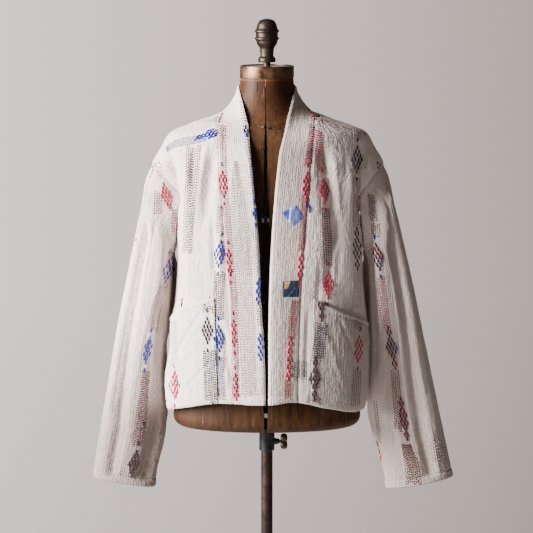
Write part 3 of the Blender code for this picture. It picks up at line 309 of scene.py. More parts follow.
FORM_SECTIONS = [
    # height   width   front   back    slot
    (0.7673, 0.1950, 0.1080, 0.1080, 0.0030),
    (0.8500, 0.1900, 0.1060, 0.1070, 0.0070),
    (0.9500, 0.1740, 0.1000, 0.1020, 0.0100),
    (1.0500, 0.1640, 0.0980, 0.0980, 0.0105),
    (1.1300, 0.1660, 0.1030, 0.0980, 0.0098),
    (1.2000, 0.1760, 0.1060, 0.0990, 0.0075),
    (1.2600, 0.1850, 0.1040, 0.0980, 0.0045),
    (1.3000, 0.1895, 0.1010, 0.0950, 0.0032),
    (1.3350, 0.1910, 0.0960, 0.0900, 0.0028),
    (1.3530, 0.1835, 0.0900, 0.0850, 0.0024),
    (1.3622, 0.1730, 0.0860, 0.0820, 0.0020),
    (1.3725, 0.1480, 0.0800, 0.0770, 0.0016),
    (1.3797, 0.1230, 0.0750, 0.0725, 0.0012),
    (1.3870, 0.1010, 0.0710, 0.0690, 0.0010),
    (1.3980, 0.0830, 0.0665, 0.0650, 0.0008),
    (1.4180, 0.0680, 0.0600, 0.0600, 0.0006),
    (1.4430, 0.0567, 0.0560, 0.0560, 0.0006),
    (1.4684, 0.0543, 0.0543, 0.0543, 0.0006),
]
FORM_ROUNDNESS = 2.05
FORM_WALL = 0.006
FORM_FLOOR = 0.7453
FORM_CORNER = 0.022
FORM_HOLE = 0.019
SLOT_X = -0.0025

# The metal, about the pole's axis
POLE_RADIUS = 0.0121
POLE_TOP = 0.930
SOCKET_FLOOR = 0.020
COLLAR_BORE = 0.0124
COLLAR_RADIUS = 0.0160
COLLAR_LOW = 0.6905
FLANGE_RADIUS = 0.045
FLANGE_THICKNESS = 0.003
SCREW_HEIGHT = 0.7092
CAP_RADIUS = 0.0555
CAP_LOW = 1.4687
CAP_TOP = 1.4935
CAP_RIM = 0.004
CAP_RECESS = 0.002
CAP_EASE = 0.001
FINIAL_STEM = 0.0074
BASE_PROFILE = [
    # radius height
    (0.0190, 0.0850), (0.0205, 0.0830), (0.0215, 0.0600), (0.0280, 0.0480), (0.0500, 0.0380),
    (0.1000, 0.0260), (0.1600, 0.0160), (0.1700, 0.0100),
]
FINIAL = [
    # radius height
    (0.0000, 1.5891), (0.0090, 1.5875), (0.0149, 1.5846), (0.0192, 1.5780), (0.0221, 1.5687),
    (0.0250, 1.5640), (0.0250, 1.5622), (0.0227, 1.5602), (0.0225, 1.5525), (0.0252, 1.5495),
    (0.0252, 1.5477), (0.0227, 1.5450), (0.0208, 1.5384), (0.0178, 1.5332), (0.0147, 1.5279),
    (0.0135, 1.5134), (0.0168, 1.5095), (0.0182, 1.5043), (0.0172, 1.5002),
]
BOSS_PROFILE = [
    # radius, and place along the screw's axis
    (0.0000, 0.0130), (0.0080, 0.0130), (0.0066, 0.0195), (0.0052, 0.0255), (0.0044, 0.0265),
    (0.0034, 0.0265), (0.0034, 0.0200), (0.0000, 0.0200),
]

# Looks
METALS = {
    # dark, light, roughness, metallic
    "worn_copper": ((0.075, 0.036, 0.020), (0.215, 0.114, 0.066), 0.36, 0.80),
    "dark_bronze": ((0.022, 0.014, 0.010), (0.066, 0.045, 0.035), 0.38, 0.70),
    "screw_bronze": ((0.055, 0.036, 0.022), (0.150, 0.105, 0.070), 0.38, 0.70),
    "black_steel": ((0.012, 0.012, 0.014), (0.040, 0.042, 0.050), 0.38, 0.5),
    "rusty_pole": ((0.016, 0.010, 0.008), (0.048, 0.027, 0.021), 0.40, 0.60),
    "dark_iron": ((0.030, 0.027, 0.024), (0.055, 0.050, 0.045), 0.55, 0.5),
    "pale_steel": ((0.36, 0.35, 0.34), (0.66, 0.65, 0.64), 0.33, 0.9),
    "dull_steel": ((0.050, 0.045, 0.040), (0.130, 0.120, 0.110), 0.40, 0.8),
}
# Solids that are shown as they are, and their metals
KEPT_SOLIDS = {
    "neck_screw_left": "pale_steel", "neck_screw_right": "black_steel", "hem_screw_left": "dull_steel",
    "hem_screw_middle": "black_steel", "hem_screw_right": "black_steel", "spreader_bar": "black_steel",
    "spreader_tab_left": "pale_steel", "spreader_tab_right": "pale_steel", "slot_spacer": "pale_steel",
}
# Painted shade on the cloth, darker where less light falls: axis, start and end of the change, colour, amount
# Painted shade: the left sleeve darker towards the cuff and towards the body, the right sleeve darker towards
# the cuff and away from the body
PAINTED_SHADE_SLEEVES = {
    -1: [(2, 0.980, 0.720, (0.240, 0.182, 0.160), 0.88), (0, -0.262, -0.212, (0.360, 0.280, 0.250), 0.40)],
    1: [(2, 0.770, 0.690, (0.330, 0.265, 0.235), 0.50), (0, 0.215, 0.250, (0.330, 0.265, 0.230), 0.50)],
}
# Painted shade: the neckband darker on its right half
PAINTED_SHADE_BAND = [(0, 0.004, 0.030, (0.340, 0.272, 0.244), 0.72)]
# Painted shade: the right pocket darker
PAINTED_SHADE_POCKETS = [(0, 0.010, 0.060, (0.300, 0.235, 0.205), 0.64)]
# The wall's colour is painted lighter on the left and darker on the right, as the window's light falls off
# across it
WALL_LEFT = (1.28, 1.14, 1.09)
WALL_RIGHT = (0.60, 0.50, 0.46)
FILL_COLOUR = (1.0, 0.88, 0.81)
FILL_STRENGTH = 0.134
KEY_POWER = 575.0
SIDE_POWER = 2.0
BACK_POWER = 10.0
FLOOR_RADIUS = 1.5

# How finely the scene's cloth is divided
ROWS_BELOW = 106
ROWS_ARMHOLE = 70
ROWS_ABOVE = 30
FRONT_COLUMNS = 152
BACK_COLUMNS = 352
BAND_COLUMNS = 44
SLEEVE_RINGS = 190
RIDGE_COLUMNS = 4          # columns of points to one quilted ridge
STITCH_COLUMNS = 2.5       # columns of points to one row of white running stitch
INNER_STEP = 4             # the plain inside is this many times coarser
RING_SAMPLES = 500
POCKET_ROWS = 78
PATCH_STEPS = 22
FORM_ROWS = 111
FORM_COLUMNS = 96
TURNED_STEPS = 96

# Stitches, in metres
STITCH_PITCH = 0.0078
DOT_RADIUS = 0.00122
LONG_RADIUS = 0.00172
LINE_RADIUS = 0.0008
PATCH_LIFT = 0.0013         # the mended patches' thickness
MOST_STEP = 0.008           # a thread with a longer step has left the cloth, so it isn't laid

PHOTO = 533
CAMERA_PLACE = Vector((-0.0008, -5.0, 1.7807))
CAMERA_AIM = Vector((-0.0008, 0.0, 1.078))
CAMERA_FOCUS = 2440.0      # in pixels of the photograph
# Stitches, in pixels of the photograph
SHAKE = 0.12               # how far a stitch's end strays
NET_GAP = 3.2              # between the stitches of a diamond's row
NET_ROW = 3.95             # between its rows


# Reading the tables

def read_table(table, heights):
    """Read each value column of a table at the given heights with a cubic that never overshoots."""
    rows = np.array(table, dtype=float)
    known = rows[:, 0]
    values = rows[:, 1:]
    at = np.clip(np.atleast_1d(np.asarray(heights, dtype=float)), known[0], known[-1])
    step = np.diff(known)[:, None]
    rise = np.diff(values, axis=0) / step
    slope = np.zeros_like(values)
    slope[0] = rise[0]
    slope[-1] = rise[-1]
    before = rise[:-1]
    after = rise[1:]
    same_way = before * after > 0
    weight_a = 2 * step[1:] + step[:-1]
    weight_b = step[1:] + 2 * step[:-1]
    safe_before = np.where(same_way, before, 1.0)
    safe_after = np.where(same_way, after, 1.0)
    mean = (weight_a + weight_b) / (weight_a / safe_before + weight_b / safe_after)
    slope[1:-1] = np.where(same_way, mean, 0.0)
    k = np.clip(np.searchsorted(known, at, side="right") - 1, 0, len(known) - 2)
    h = step[k]
    t = (at - known[k])[:, None] / h
    return ((1 + 2 * t) * (1 - t) ** 2 * values[k] + t * (1 - t) ** 2 * h * slope[k]
            + t * t * (3 - 2 * t) * values[k + 1] + t * t * (t - 1) * h * slope[k + 1])


def read_along(table, share):
    rows = np.array(table, dtype=float)
    return read_table(np.column_stack([np.linspace(0, 1, len(rows)), rows]), share)


def ease(value):
    value = np.clip(value, 0.0, 1.0)
    return value * value * (3 - 2 * value)


def signed_power(value, exponent):
    return np.sign(value) * np.abs(value) ** exponent


def unit(vectors):
    return vectors / np.maximum(np.linalg.norm(vectors, axis=-1, keepdims=True), 1e-12)


# The body's surface

def body_sizes(height):
    return read_table(BODY_SECTIONS, height)[0]


def angle_at_x(x, height):
    left, right, front, back, roundness = body_sizes(height)
    share = min(abs(x) / (left if x < 0 else right), 1.0)
    return math.copysign(math.asin(share ** (roundness / 2)), x)


def angle_at_reach(side, reach, height):
    left, right, front, back, roundness = body_sizes(height)
    share = (abs(reach) / (front if reach > 0 else back)) ** (roundness / 2)
    return side * (math.pi / 2 - math.copysign(math.asin(share), reach))


def fold_height(x, y, z):
    total = np.zeros_like(x)
    for face, x_top, z_top, x_low, z_low, half_width, height in BODY_FOLDS + BODY_CREASES:
        axis = x_top + (x_low - x_top) * (z_top - z) / (z_top - z_low)
        taper = ease(np.minimum(z_top - z, z - z_low) / FOLD_END)
        total = total + height * taper * ease(face * y / 0.020) * np.exp(-((x - axis) / half_width) ** 2)
    return total


def body_section(angles, height):
    """Points of the body's outer surface at one height, for turns in radians from the front middle."""
    left, right, front, back, roundness = body_sizes(height)
    s = np.sin(angles)
    c = np.cos(angles)
    wide = np.where(s < 0, left, right)
    deep = np.where(c > 0, front, back)
    x = wide * signed_power(s, 2 / roundness)
    y = -deep * signed_power(c, 2 / roundness)
    lift = fold_height(x, y, height)
    out_x = signed_power(s, 2 - 2 / roundness) / wide
    out_y = -signed_power(c, 2 - 2 / roundness) / deep
    size = np.hypot(out_x, out_y)
    drop = ease((HEM_BLEND_TOP - height) / (HEM_BLEND_TOP - HEM_SIDE))
    wave = np.array(HEM_WAVE)
    fade = ease(4 * c) * ease((HEM_WAVE_TOP - height) / (HEM_WAVE_TOP - HEM_SIDE))
    z = height + np.where(c > 0, HEM_FRONT_LIFT, HEM_BACK_LIFT) * np.abs(c) ** HEM_SQUARENESS * drop
    z += np.interp(x, wave[:, 0], wave[:, 1]) * fade
    return np.column_stack([x + lift * out_x / size, y + lift * out_y / size, z])


def step_lengths(points, way=0):
    """Distances between neighbouring points, along one way of a line or grid of points."""
    return np.linalg.norm(np.diff(points, axis=way), axis=-1)


def along(points, share):
    """Points at the given shares of a polyline's length."""
    length = np.concatenate([[0.0], np.cumsum(step_lengths(points))])
    wanted = np.asarray(share) * length[-1]
    return np.column_stack([np.interp(wanted, length, points[:, k]) for k in range(3)])


def body_row(start, end, height, count):
    fine = body_section(np.linspace(start, end, RING_SAMPLES), height)
    return along(fine, np.linspace(0, 1, count))


def armhole_height(turn):
    return UNDERARM + (SHOULDER_TIP - UNDERARM) * (1 + math.cos(turn)) / 2


def armhole_reach(height, tip):
    share = (height - UNDERARM) / (SHOULDER_TIP - UNDERARM)
    return ARMHOLE_REACH * math.sqrt(max(0.0, 1 - (2 * share - 1) ** 2)) + tip * ease(share)


def shoulder_reach(height):
    share = ease((height - SHOULDER_TIP) / (SHOULDER_SEAM_END - SHOULDER_TIP))
    return TIP_REACH + (SHOULDER_SEAM_REACH - TIP_REACH) * share


def row_heights():
    below = np.linspace(HEM_SIDE, UNDERARM, ROWS_BELOW + 1)[:-1]
    hole = [armhole_height(turn) for turn in np.linspace(math.pi, 0.0, ROWS_ARMHOLE + 1)]
    above = np.linspace(SHOULDER_TIP, SHOULDER_SEAM_END, ROWS_ABOVE + 1)[1:]
    return list(below) + hole + list(above)


HEIGHTS = row_heights()


def edge_turn(side, height, face):
    """Where the front (face 1) or back (face -1) ends: side seam, armhole or shoulder seam."""
    if height <= UNDERARM + 1e-9:
        return side * math.pi / 2
    if height <= SHOULDER_TIP + 1e-9:
        reach = max(armhole_reach(height, face * TIP_REACH), 1e-6)
        return angle_at_reach(side, face * reach, height)
    if height <= SHOULDER_SEAM_END + 1e-9:
        return angle_at_reach(side, shoulder_reach(height), height)
    share = (height - SHOULDER_SEAM_END) / (BACK_NECK - SHOULDER_SEAM_END)
    return angle_at_reach(side, SHOULDER_SEAM_REACH + (BACK_NECK_REACH - SHOULDER_SEAM_REACH) * share, height)


def band_line(side, height):
    seam_l, seam_r, edge_l, edge_r = read_table(BAND_LINES, height)[0]
    return (seam_l, edge_l) if side < 0 else (seam_r, edge_r)


def front_grid(side):
    rows = []
    for height in HEIGHTS:
        start = angle_at_x(side * band_line(side, height)[0], height)
        rows.append(body_row(start, edge_turn(side, height, 1), height, FRONT_COLUMNS + 1))
    return np.array(rows)


def back_grid():
    rows = []
    for height in HEIGHTS + list(np.linspace(SHOULDER_SEAM_END, BACK_NECK, 4)[1:]):
        start = edge_turn(-1, height, -1)
        end = edge_turn(1, height, -1)
        rows.append(body_row(start, end - 2 * math.pi, height, BACK_COLUMNS + 1))
    return np.array(rows)


def half_band(side, front, back):
    """Stations from the hem up to the nape, columns from the seam to the free edge."""
    flat = [height for height in HEIGHTS if height <= BAND_FLAT_TOP + 1e-9]
    stations = []
    for height in flat:
        seam, edge = (angle_at_x(side * x, height) for x in band_line(side, height))
        stations.append(body_row(seam, edge, height, BAND_COLUMNS + 1))
    middle = BACK_COLUMNS // 2
    nape = back[-1][::-side]
    past_shoulder = back[len(HEIGHTS):-1, -1 if side > 0 else 0]
    seam_line = [front[len(flat) - 1:, 0], past_shoulder, nape[:middle + 1:3], nape[middle:middle + 1]]
    seam_line = np.vstack(seam_line)
    seam_line = seam_line[np.concatenate([[True], step_lengths(seam_line) > 1e-6])]
    free = np.array(NECK_EDGE) * np.array([side, 1, 1])
    free_line = read_along(np.vstack([stations[-1][-1], free]), np.linspace(0, 1, 200))
    share = np.concatenate([[0.0], np.cumsum(step_lengths(seam_line))]) / step_lengths(seam_line).sum()
    matched = along(free_line, share)
    across = np.linspace(0, 1, BAND_COLUMNS + 1)[:, None]
    for k in range(1, len(seam_line)):
        straight = seam_line[k] * (1 - across) + matched[k] * across
        inward = unit(-seam_line[k] * np.array([1, 1, 0]))
        stations.append(straight + NECK_HUG * ease(share[k] / 0.3) * 4 * across * (1 - across) * inward)
    return np.array(stations)


def sleeve_folds(folds, turns, share):
    total = np.zeros_like(turns)
    for turn_top, share_top, turn_low, share_low, half_turn, height in folds:
        axis = turn_top + (turn_low - turn_top) * (share - share_top) / (share_low - share_top)
        off = (np.degrees(turns) - axis + 180) % 360 - 180
        taper = ease(min(share - share_top, share_low - share) / SLEEVE_FOLD_END)
        total = total + height * taper * np.exp(-(off / half_turn) ** 2)
    return total


def sleeve_ring(table, folds, turns, share):
    outer_x, outer_z, inner_x, inner_z, half_depth, middle_y = read_along(table, share)[0]
    c = signed_power(np.cos(turns), 2 / SLEEVE_ROUNDNESS)
    s = signed_power(np.sin(turns), 2 / SLEEVE_ROUNDNESS)
    middle = np.array([(outer_x + inner_x) / 2, middle_y, (outer_z + inner_z) / 2])
    half = np.array([(outer_x - inner_x) / 2, 0.0, (outer_z - inner_z) / 2])
    lift = sleeve_folds(folds, turns, share)
    wide = 1 + (lift / max(abs(half[0]), 0.02))[:, None]
    return middle + c[:, None] * half * wide - (s * (half_depth + lift))[:, None] * np.array([0.0, 1.0, 0.0])


def sleeve_grid(side):
    """Rings from the armhole to the cuff. The first ring is the armhole's loop itself."""
    table = SLEEVE_LEFT if side < 0 else SLEEVE_RIGHT
    folds = SLEEVE_FOLDS[side] + SLEEVE_CREASES[side]
    turns = np.linspace(0, 2 * math.pi, 4 * ROWS_ARMHOLE + 1)[:-1]
    loop = []
    for turn in turns:
        height = armhole_height(turn)
        face = 1 if turn <= math.pi else -1
        loop.append(body_section(np.array([edge_turn(side, height, face)]), height)[0])
    loop[0] = body_section(np.array([edge_turn(side, SHOULDER_TIP, 1)]), SHOULDER_TIP)[0]
    stray = np.array(loop) - sleeve_ring(table, folds, turns, 0.0)
    rings = []
    for share in np.linspace(0, 1, SLEEVE_RINGS):
        rings.append(sleeve_ring(table, folds, turns, share) + stray * (1 - ease(share / SLEEVE_SETTLE)))
    return np.array(rings)


# Cloth as grids of points

def smooth_noise(seed, v, u, cells_down, cells_across, wrap):
    """Smooth noise from -1 to 1. Each column of cells starts at its own height, so that no rows show."""
    source = np.random.RandomState(seed)
    cells_down = max(int(round(cells_down)), 1)
    cells_across = max(int(round(cells_across)), 1)
    width = cells_across + (0 if wrap else 2)
    values = source.uniform(-1, 1, (cells_down + 3, width))
    start = source.uniform(0, 1, width)
    j = (u * cells_across).astype(int)
    share = ease(u * cells_across - j)[None, :]
    total = 0.0
    for column, weight in ((j % width, 1 - share), ((j + 1) % width, share)):
        place = v[:, None] * cells_down + start[column][None, :]
        i = place.astype(int)
        t = ease(place - i)
        total = total + weight * (values[i, column] * (1 - t) + values[i + 1, column] * t)
    return total


def grid_area(grid):
    corners = np.cross(np.diff(grid, axis=0)[:, :-1], np.diff(grid, axis=1)[:-1])
    return float(np.linalg.norm(corners, axis=2).sum())


class Cloth:
    """A panel's grid of points, its outward normals, its relief and its quilting coordinates.

    Its edges are numbered: 0 is the first row, 1 the last row, 2 the first column, 3 the last column.
    """

    def __init__(self, grid, flip, seed, closed=False):
        self.closed = closed
        self.grid = grid
        padded = np.concatenate([grid[:, -1:], grid, grid[:, :1]], axis=1) if closed else grid
        across = np.gradient(padded, axis=1)
        across = across[:, 1:-1] if closed else across
        self.normal = unit(np.cross(across, np.gradient(grid, axis=0))) * flip
        rows, columns = grid.shape[:2]
        self.across = np.pad(np.cumsum(step_lengths(grid, 1), axis=1), ((0, 0), (1, 0)))
        self.down = np.pad(np.cumsum(step_lengths(grid), axis=0), ((1, 0), (0, 0)))
        self.width = float(self.across[:, -1].mean())
        self.length = float(self.down[-1].mean())
        self.relief = np.zeros((rows, columns))
        self.sunk = np.zeros((rows, columns))
        self.quilt(seed)

    def flat(self):
        """Greatest width and length of the piece laid flat. A closed piece is cut open along its seam."""
        last = np.linalg.norm(self.grid[:, 0] - self.grid[:, -1], axis=1) if self.closed else 0.0
        return float((self.across[:, -1] + last).max()), float(self.down[-1].max())

    def area(self):
        return grid_area(np.concatenate([self.grid, self.grid[:, :1]], axis=1) if self.closed else self.grid)

    def noise(self, seed, wide, tall):
        columns = self.grid.shape[1]
        v = self.down.mean(axis=1) / self.length
        u = np.arange(columns) / columns if self.closed else self.across.mean(axis=0) / self.width
        return smooth_noise(seed, v, u, self.length / tall, self.width / wide, self.closed)

    def quilt(self, seed):
        """Ridges between the rows of running stitch, puckers that the rows draw in, and slow unevenness."""
        columns = np.arange(self.grid.shape[1])[None, :]
        wander = 1.6 * self.noise(seed, 0.050, 0.090) + 0.9 * self.noise(seed + 9, 0.016, 0.030)
        ridge_height = RIDGE_MEAN + RIDGE_SPREAD * self.noise(seed + 1, 0.012, 0.014)
        ripple = ridge_height * np.sin(2 * math.pi * columns / RIDGE_COLUMNS + wander)
        ripple += SEED_HEIGHT * self.noise(seed + 5, 0.0042, 0.0070)
        patchy = 0.55 + 0.45 * self.noise(seed + 7, 0.060, 0.100)
        soft = SWELL_HEIGHT * (1 + self.noise(seed + 4, 0.045, 0.150)) / 2 - SOFT_MEAN
        for step, wide, tall, height, power, in_patches in PUCKERS:
            pucker = height * (1 - np.abs(self.noise(seed + step, wide, tall))) ** power
            soft = soft + (pucker * patchy if in_patches else pucker)
        self.soft = soft * self.fade(0.016)
        self.relief += self.soft + ripple * self.fade(0.003)
        self.quilting = np.stack([columns / STITCH_COLUMNS + wander / 4, self.down / STITCH_PITCH], axis=2)

    def edges(self):
        """Distances to the first and last row and, on an open piece, the first and last column."""
        far = [self.down, self.down[-1:] - self.down]
        if not self.closed:
            far += [self.across, self.across[:, -1:] - self.across]
        return far

    def fade(self, reach):
        return ease(np.minimum.reduce(self.edges()) / reach)

    def seam(self, which, depth=0.0011, reach=0.0030):
        """Sink an edge that is sewn to another piece."""
        self.sunk = np.maximum(self.sunk, depth * np.exp(-(self.edges()[which] / reach) ** 2))

    def hem(self, which, width=HEM_WIDTH, groove=0.0013):
        """Turn an edge under: a rounded fold, a double thickness, and the line of stitches above it."""
        far = self.edges()[which]
        self.relief += HEM_RISE * ease((width - far) / HEM_STEP)
        self.relief -= groove * np.exp(-((far - width) / HEM_LINE) ** 2)
        self.relief -= HEM_DROP * (1 - ease(far / HEM_ROUND))

    def groove(self, which, distance, depth):
        """A line of sewing some way in from an edge."""
        self.relief -= depth * np.exp(-((self.edges()[which] - distance) / 0.0015) ** 2)

    def fold(self, which):
        """An edge that is only folded over."""
        self.relief -= FOLD_DROP * (1 - ease(self.edges()[which] / FOLD_ROUND))

    def crease(self, u_top, v_top, u_low, v_low, half_width, height):
        """One soft trough or ridge between two places, given as shares across and up the piece."""
        rows, columns = self.grid.shape[:2]
        u = np.linspace(0, 1, columns)[None, :]
        v = np.linspace(0, 1, rows)[:, None]
        axis = u_top + (u_low - u_top) * (v_top - v) / (v_top - v_low)
        taper = ease(np.minimum(v_top - v, v - v_low) * self.length / 0.02)
        self.relief += height * taper * np.exp(-((u - axis) * self.width / half_width) ** 2)

    def outer(self):
        return self.grid + self.normal * (self.relief - self.sunk)[..., None]


def shell(name, cloth, material, thickness):
    """A closed thin wall: the panel's fine outer points over a plain, coarser inside."""
    inner = cloth.grid - cloth.normal * thickness
    rows, columns = cloth.grid.shape[:2]
    end = columns if cloth.closed else columns - 1
    places = cloth.quilting
    if cloth.closed:
        places = np.concatenate([places, places[:, :1] + np.array([columns / STITCH_COLUMNS, 0.0])], axis=1)
    points = list(cloth.outer().reshape(-1, 3))
    number = {}
    faces = []
    uvs = []

    def corner(row, column, inside):
        """The number of a point of the outer or the inner wall; notes its quilting place on the way."""
        uvs.append(places[row, column])
        key = (row, column % columns)
        if not inside:
            return row * columns + key[1]
        if key not in number:
            number[key] = len(points)
            points.append(inner[key])
        return number[key]

    for row in range(rows - 1):
        for k in range(end):
            ring = ((row, k), (row, k + 1), (row + 1, k + 1), (row + 1, k))
            faces.append([corner(*place, False) for place in ring])
    coarse_rows = [*range(0, rows - 1, INNER_STEP), rows - 1]
    coarse_columns = [*range(0, end, INNER_STEP), end]
    for top, low in zip(coarse_rows[:-1], coarse_rows[1:]):
        for left, right in zip(coarse_columns[:-1], coarse_columns[1:]):
            # On the piece's border a face takes in every fine point, so that the rims close the wall
            ring = [(top, k) for k in (range(left, right) if top == 0 else (left,))]
            ring += [(k, right) for k in (range(top, low) if right == end and not cloth.closed else (top,))]
            ring += [(low, k) for k in (range(right, left, -1) if low == rows - 1 else (right,))]
            ring += [(k, left) for k in (range(low, top, -1) if left == 0 and not cloth.closed else (low,))]
            faces.append([corner(*place, True) for place in ring[::-1]])
    rims = [[(0, k) for k in range(end, -1, -1)], [(rows - 1, k) for k in range(end + 1)]]
    if not cloth.closed:
        rims += [[(k, 0) for k in range(rows)], [(k, end) for k in range(rows - 1, -1, -1)]]
    for rim in rims:
        for here, after in zip(rim[:-1], rim[1:]):
            ring = ((*here, False), (*after, False), (*after, True), (*here, True))
            faces.append([corner(*place) for place in ring])
    return mesh_piece(name, points, faces, material, uvs=uvs)


def put_in_scene(name, data, place=(0.0, 0.0, 0.0), aim=None):
    """Link an object, turned to look at its aim where it has one."""
    made = bpy.data.objects.new(name, data)
    made.location = place
    if aim is not None:
        made.rotation_euler = (Vector(aim) - Vector(place)).to_track_quat("-Z", "Y").to_euler()
    bpy.context.scene.collection.objects.link(made)
    return made


def mesh_piece(name, points, faces, material, uvs=None, sharp=60):
    data = bpy.data.meshes.new(name)
    data.from_pydata([tuple(point) for point in points], [], faces)
    if uvs is not None:
        layer = data.uv_layers.new(name="Quilting")
        layer.data.foreach_set("uv", np.asarray(uvs, dtype=np.float32).ravel())
    data.validate()
    work = bmesh.new()
    work.from_mesh(data)
    bmesh.ops.recalc_face_normals(work, faces=work.faces[:])
    work.to_mesh(data)
    work.free()
    data.materials.append(material)
    data.shade_smooth()
    data.set_sharp_from_angle(angle=math.radians(sharp))
    return put_in_scene(name, data)


# Materials

def add_node(tree, kind, inputs=(), **settings):
    """A new node; each of its inputs is given a value or linked to a socket."""
    made = tree.nodes.new(kind)
    for key, value in settings.items():
        setattr(made, key, value)
    for key, value in dict(inputs).items():
        if isinstance(value, bpy.types.NodeSocket):
            tree.links.new(value, made.inputs[key])
        else:
            made.inputs[key].default_value = value
    return made


def scaled(colour, share):
    """A colour made lighter or darker by one share, or by one for each channel."""
    return tuple(np.minimum(np.array(colour) * share, 1.0))


class Graph:
    """A node material with short calls for the nodes it needs."""

    def __init__(self, name, roughness, metallic=0.0, specular=0.5, sheen=0.0):
        self.material = bpy.data.materials.new(name)
        self.material.use_nodes = True
        self.tree = self.material.node_tree
        self.shader = self.tree.nodes["Principled BSDF"]
        values = {"Roughness": roughness, "Metallic": metallic, "Specular IOR Level": specular,
                  "Sheen Weight": sheen, "Sheen Roughness": 0.5}
        for key, value in values.items():
            self.shader.inputs[key].default_value = value
        self.place = self.node("ShaderNodeTexCoord").outputs["Object"]

    def node(self, kind, inputs=(), **settings):
        return add_node(self.tree, kind, inputs, **settings)

    def split(self, vector):
        return self.node("ShaderNodeSeparateXYZ", {0: vector}).outputs[:3]

    def quilting(self):
        """The cloth's own two coordinates."""
        return self.split(self.node("ShaderNodeUVMap", uv_map="Quilting").outputs[0])[:2]

    def math(self, operation, a, b=0.0):
        return self.node("ShaderNodeMath", {0: a, 1: b}, operation=operation).outputs[0]

    def times(self, a, b):
        return self.math("MULTIPLY", a, b)

    def plus(self, a, b, share=1.0):
        """The first value with a share of the second."""
        return self.math("ADD", a, self.times(b, share))

    def gap(self, a, b):
        """How far apart two values are."""
        return self.math("ABSOLUTE", self.math("SUBTRACT", a, b))

    def noise(self, scale, detail=3.0, rough=0.55, stretch=None):
        place = self.place
        if stretch is not None:
            place = self.node("ShaderNodeMapping", {"Vector": place, "Scale": stretch}).outputs[0]
        inputs = {"Vector": place, "Scale": scale, "Detail": detail, "Roughness": rough}
        return self.node("ShaderNodeTexNoise", inputs).outputs["Fac"]

    def range(self, value, low, high, new_low=0.0, new_high=1.0):
        inputs = {"Value": value, "From Min": low, "From Max": high, "To Min": new_low, "To Max": new_high}
        return self.node("ShaderNodeMapRange", inputs, clamp=True).outputs[0]

    def mix(self, share, a, b):
        a, b = ((*value, 1.0) if isinstance(value, tuple) else value for value in (a, b))
        return self.node("ShaderNodeMix", {0: share, 6: a, 7: b}, data_type="RGBA").outputs[2]

    def tint(self, base, mask, amount, colour):
        """Lay a colour over the base where the mask is, by an amount."""
        return self.mix(self.times(mask, amount), base, colour)

    def finish(self, colour, bump=None, distance=0.001, strength=1.0, roughness=None):
        self.tree.links.new(colour, self.shader.inputs["Base Color"])
        if bump is not None:
            inputs = {"Height": bump, "Distance": distance, "Strength": strength}
            self.tree.links.new(self.node("ShaderNodeBump", inputs).outputs[0], self.shader.inputs["Normal"])
        if roughness is not None:
            self.tree.links.new(roughness, self.shader.inputs["Roughness"])
        return self.material


def cotton(name, light, shade, painted_shade=()):
    """Soft old cotton, quilted with rows of white running stitch.

    painted_shade lists places painted darker where shade falls: axis, start and end of the change, colour,
    amount.
    """
    g = Graph(name, 0.93, specular=0.25, sheen=0.18)
    u, v = g.quilting()
    row = g.math("ROUND", u)
    off = g.gap(u, row)
    shift = g.plus(g.times(row, 0.5), g.noise(70.0, 2.0), 1.6)
    middle = g.gap(g.math("FRACT", g.math("ADD", v, shift)), 0.5)
    in_row = g.range(off, 0.34, 0.16)
    stitch = g.times(in_row, g.range(middle, 0.38, 0.26))
    hole = g.times(in_row, g.range(middle, 0.38, 0.48))
    broken = g.range(g.noise(150.0, 2.0, 0.5, stretch=(1.0, 1.0, 0.4)), 0.40, 0.62)
    valley = g.times(g.range(off, 0.24, 0.46), broken)
    blotch = g.range(g.noise(9.0, 4.0), 0.35, 0.70)
    base = g.mix(blotch, light, shade)
    base = g.tint(base, g.range(g.noise(23.0, 5.0), 0.56, 0.74), 0.5, scaled(shade, (0.97, 0.93, 0.84)))
    base = g.tint(base, stitch, 0.40, scaled(light, 1.08))
    place = g.split(g.place)
    # Painted shade in the valleys between the rows and in the holes at the stitches' ends, stronger on the
    # left half than on the right
    for mask, on_left, on_right in ((hole, 0.95, 0.65), (valley, 0.85, 0.42)):
        amount = g.range(place[0], -0.04, 0.04, on_left, on_right)
        base = g.tint(base, mask, amount, scaled(shade, (0.52, 0.49, 0.46)))
    # Painted shade, laid over the cloth's own colour in the places listed
    for axis, start, end, colour, amount in painted_shade:
        at = g.plus(place[axis], blotch, 0.1 * (end - start))
        base = g.tint(base, g.range(at, start, end), amount, colour)
    weave = g.noise(1500.0, 2.0, 0.6)
    slub = g.noise(260.0, 3.0, 0.6, stretch=(1.0, 1.0, 0.35))
    height = g.times(weave, 0.16)
    for part, share in ((slub, 0.7), (stitch, 0.45), (hole, -0.60), (valley, -0.55)):
        height = g.plus(height, part, share)
    return g.finish(base, height, distance=0.0012, strength=0.50)


def thread(name, colour, dark):
    g = Graph(name, 0.75, specular=0.3, sheen=0.15)
    base = g.mix(g.range(g.noise(60.0), 0.35, 0.65), colour, dark)
    return g.finish(base, g.noise(2200.0, 2.0), distance=0.0003, strength=0.6)


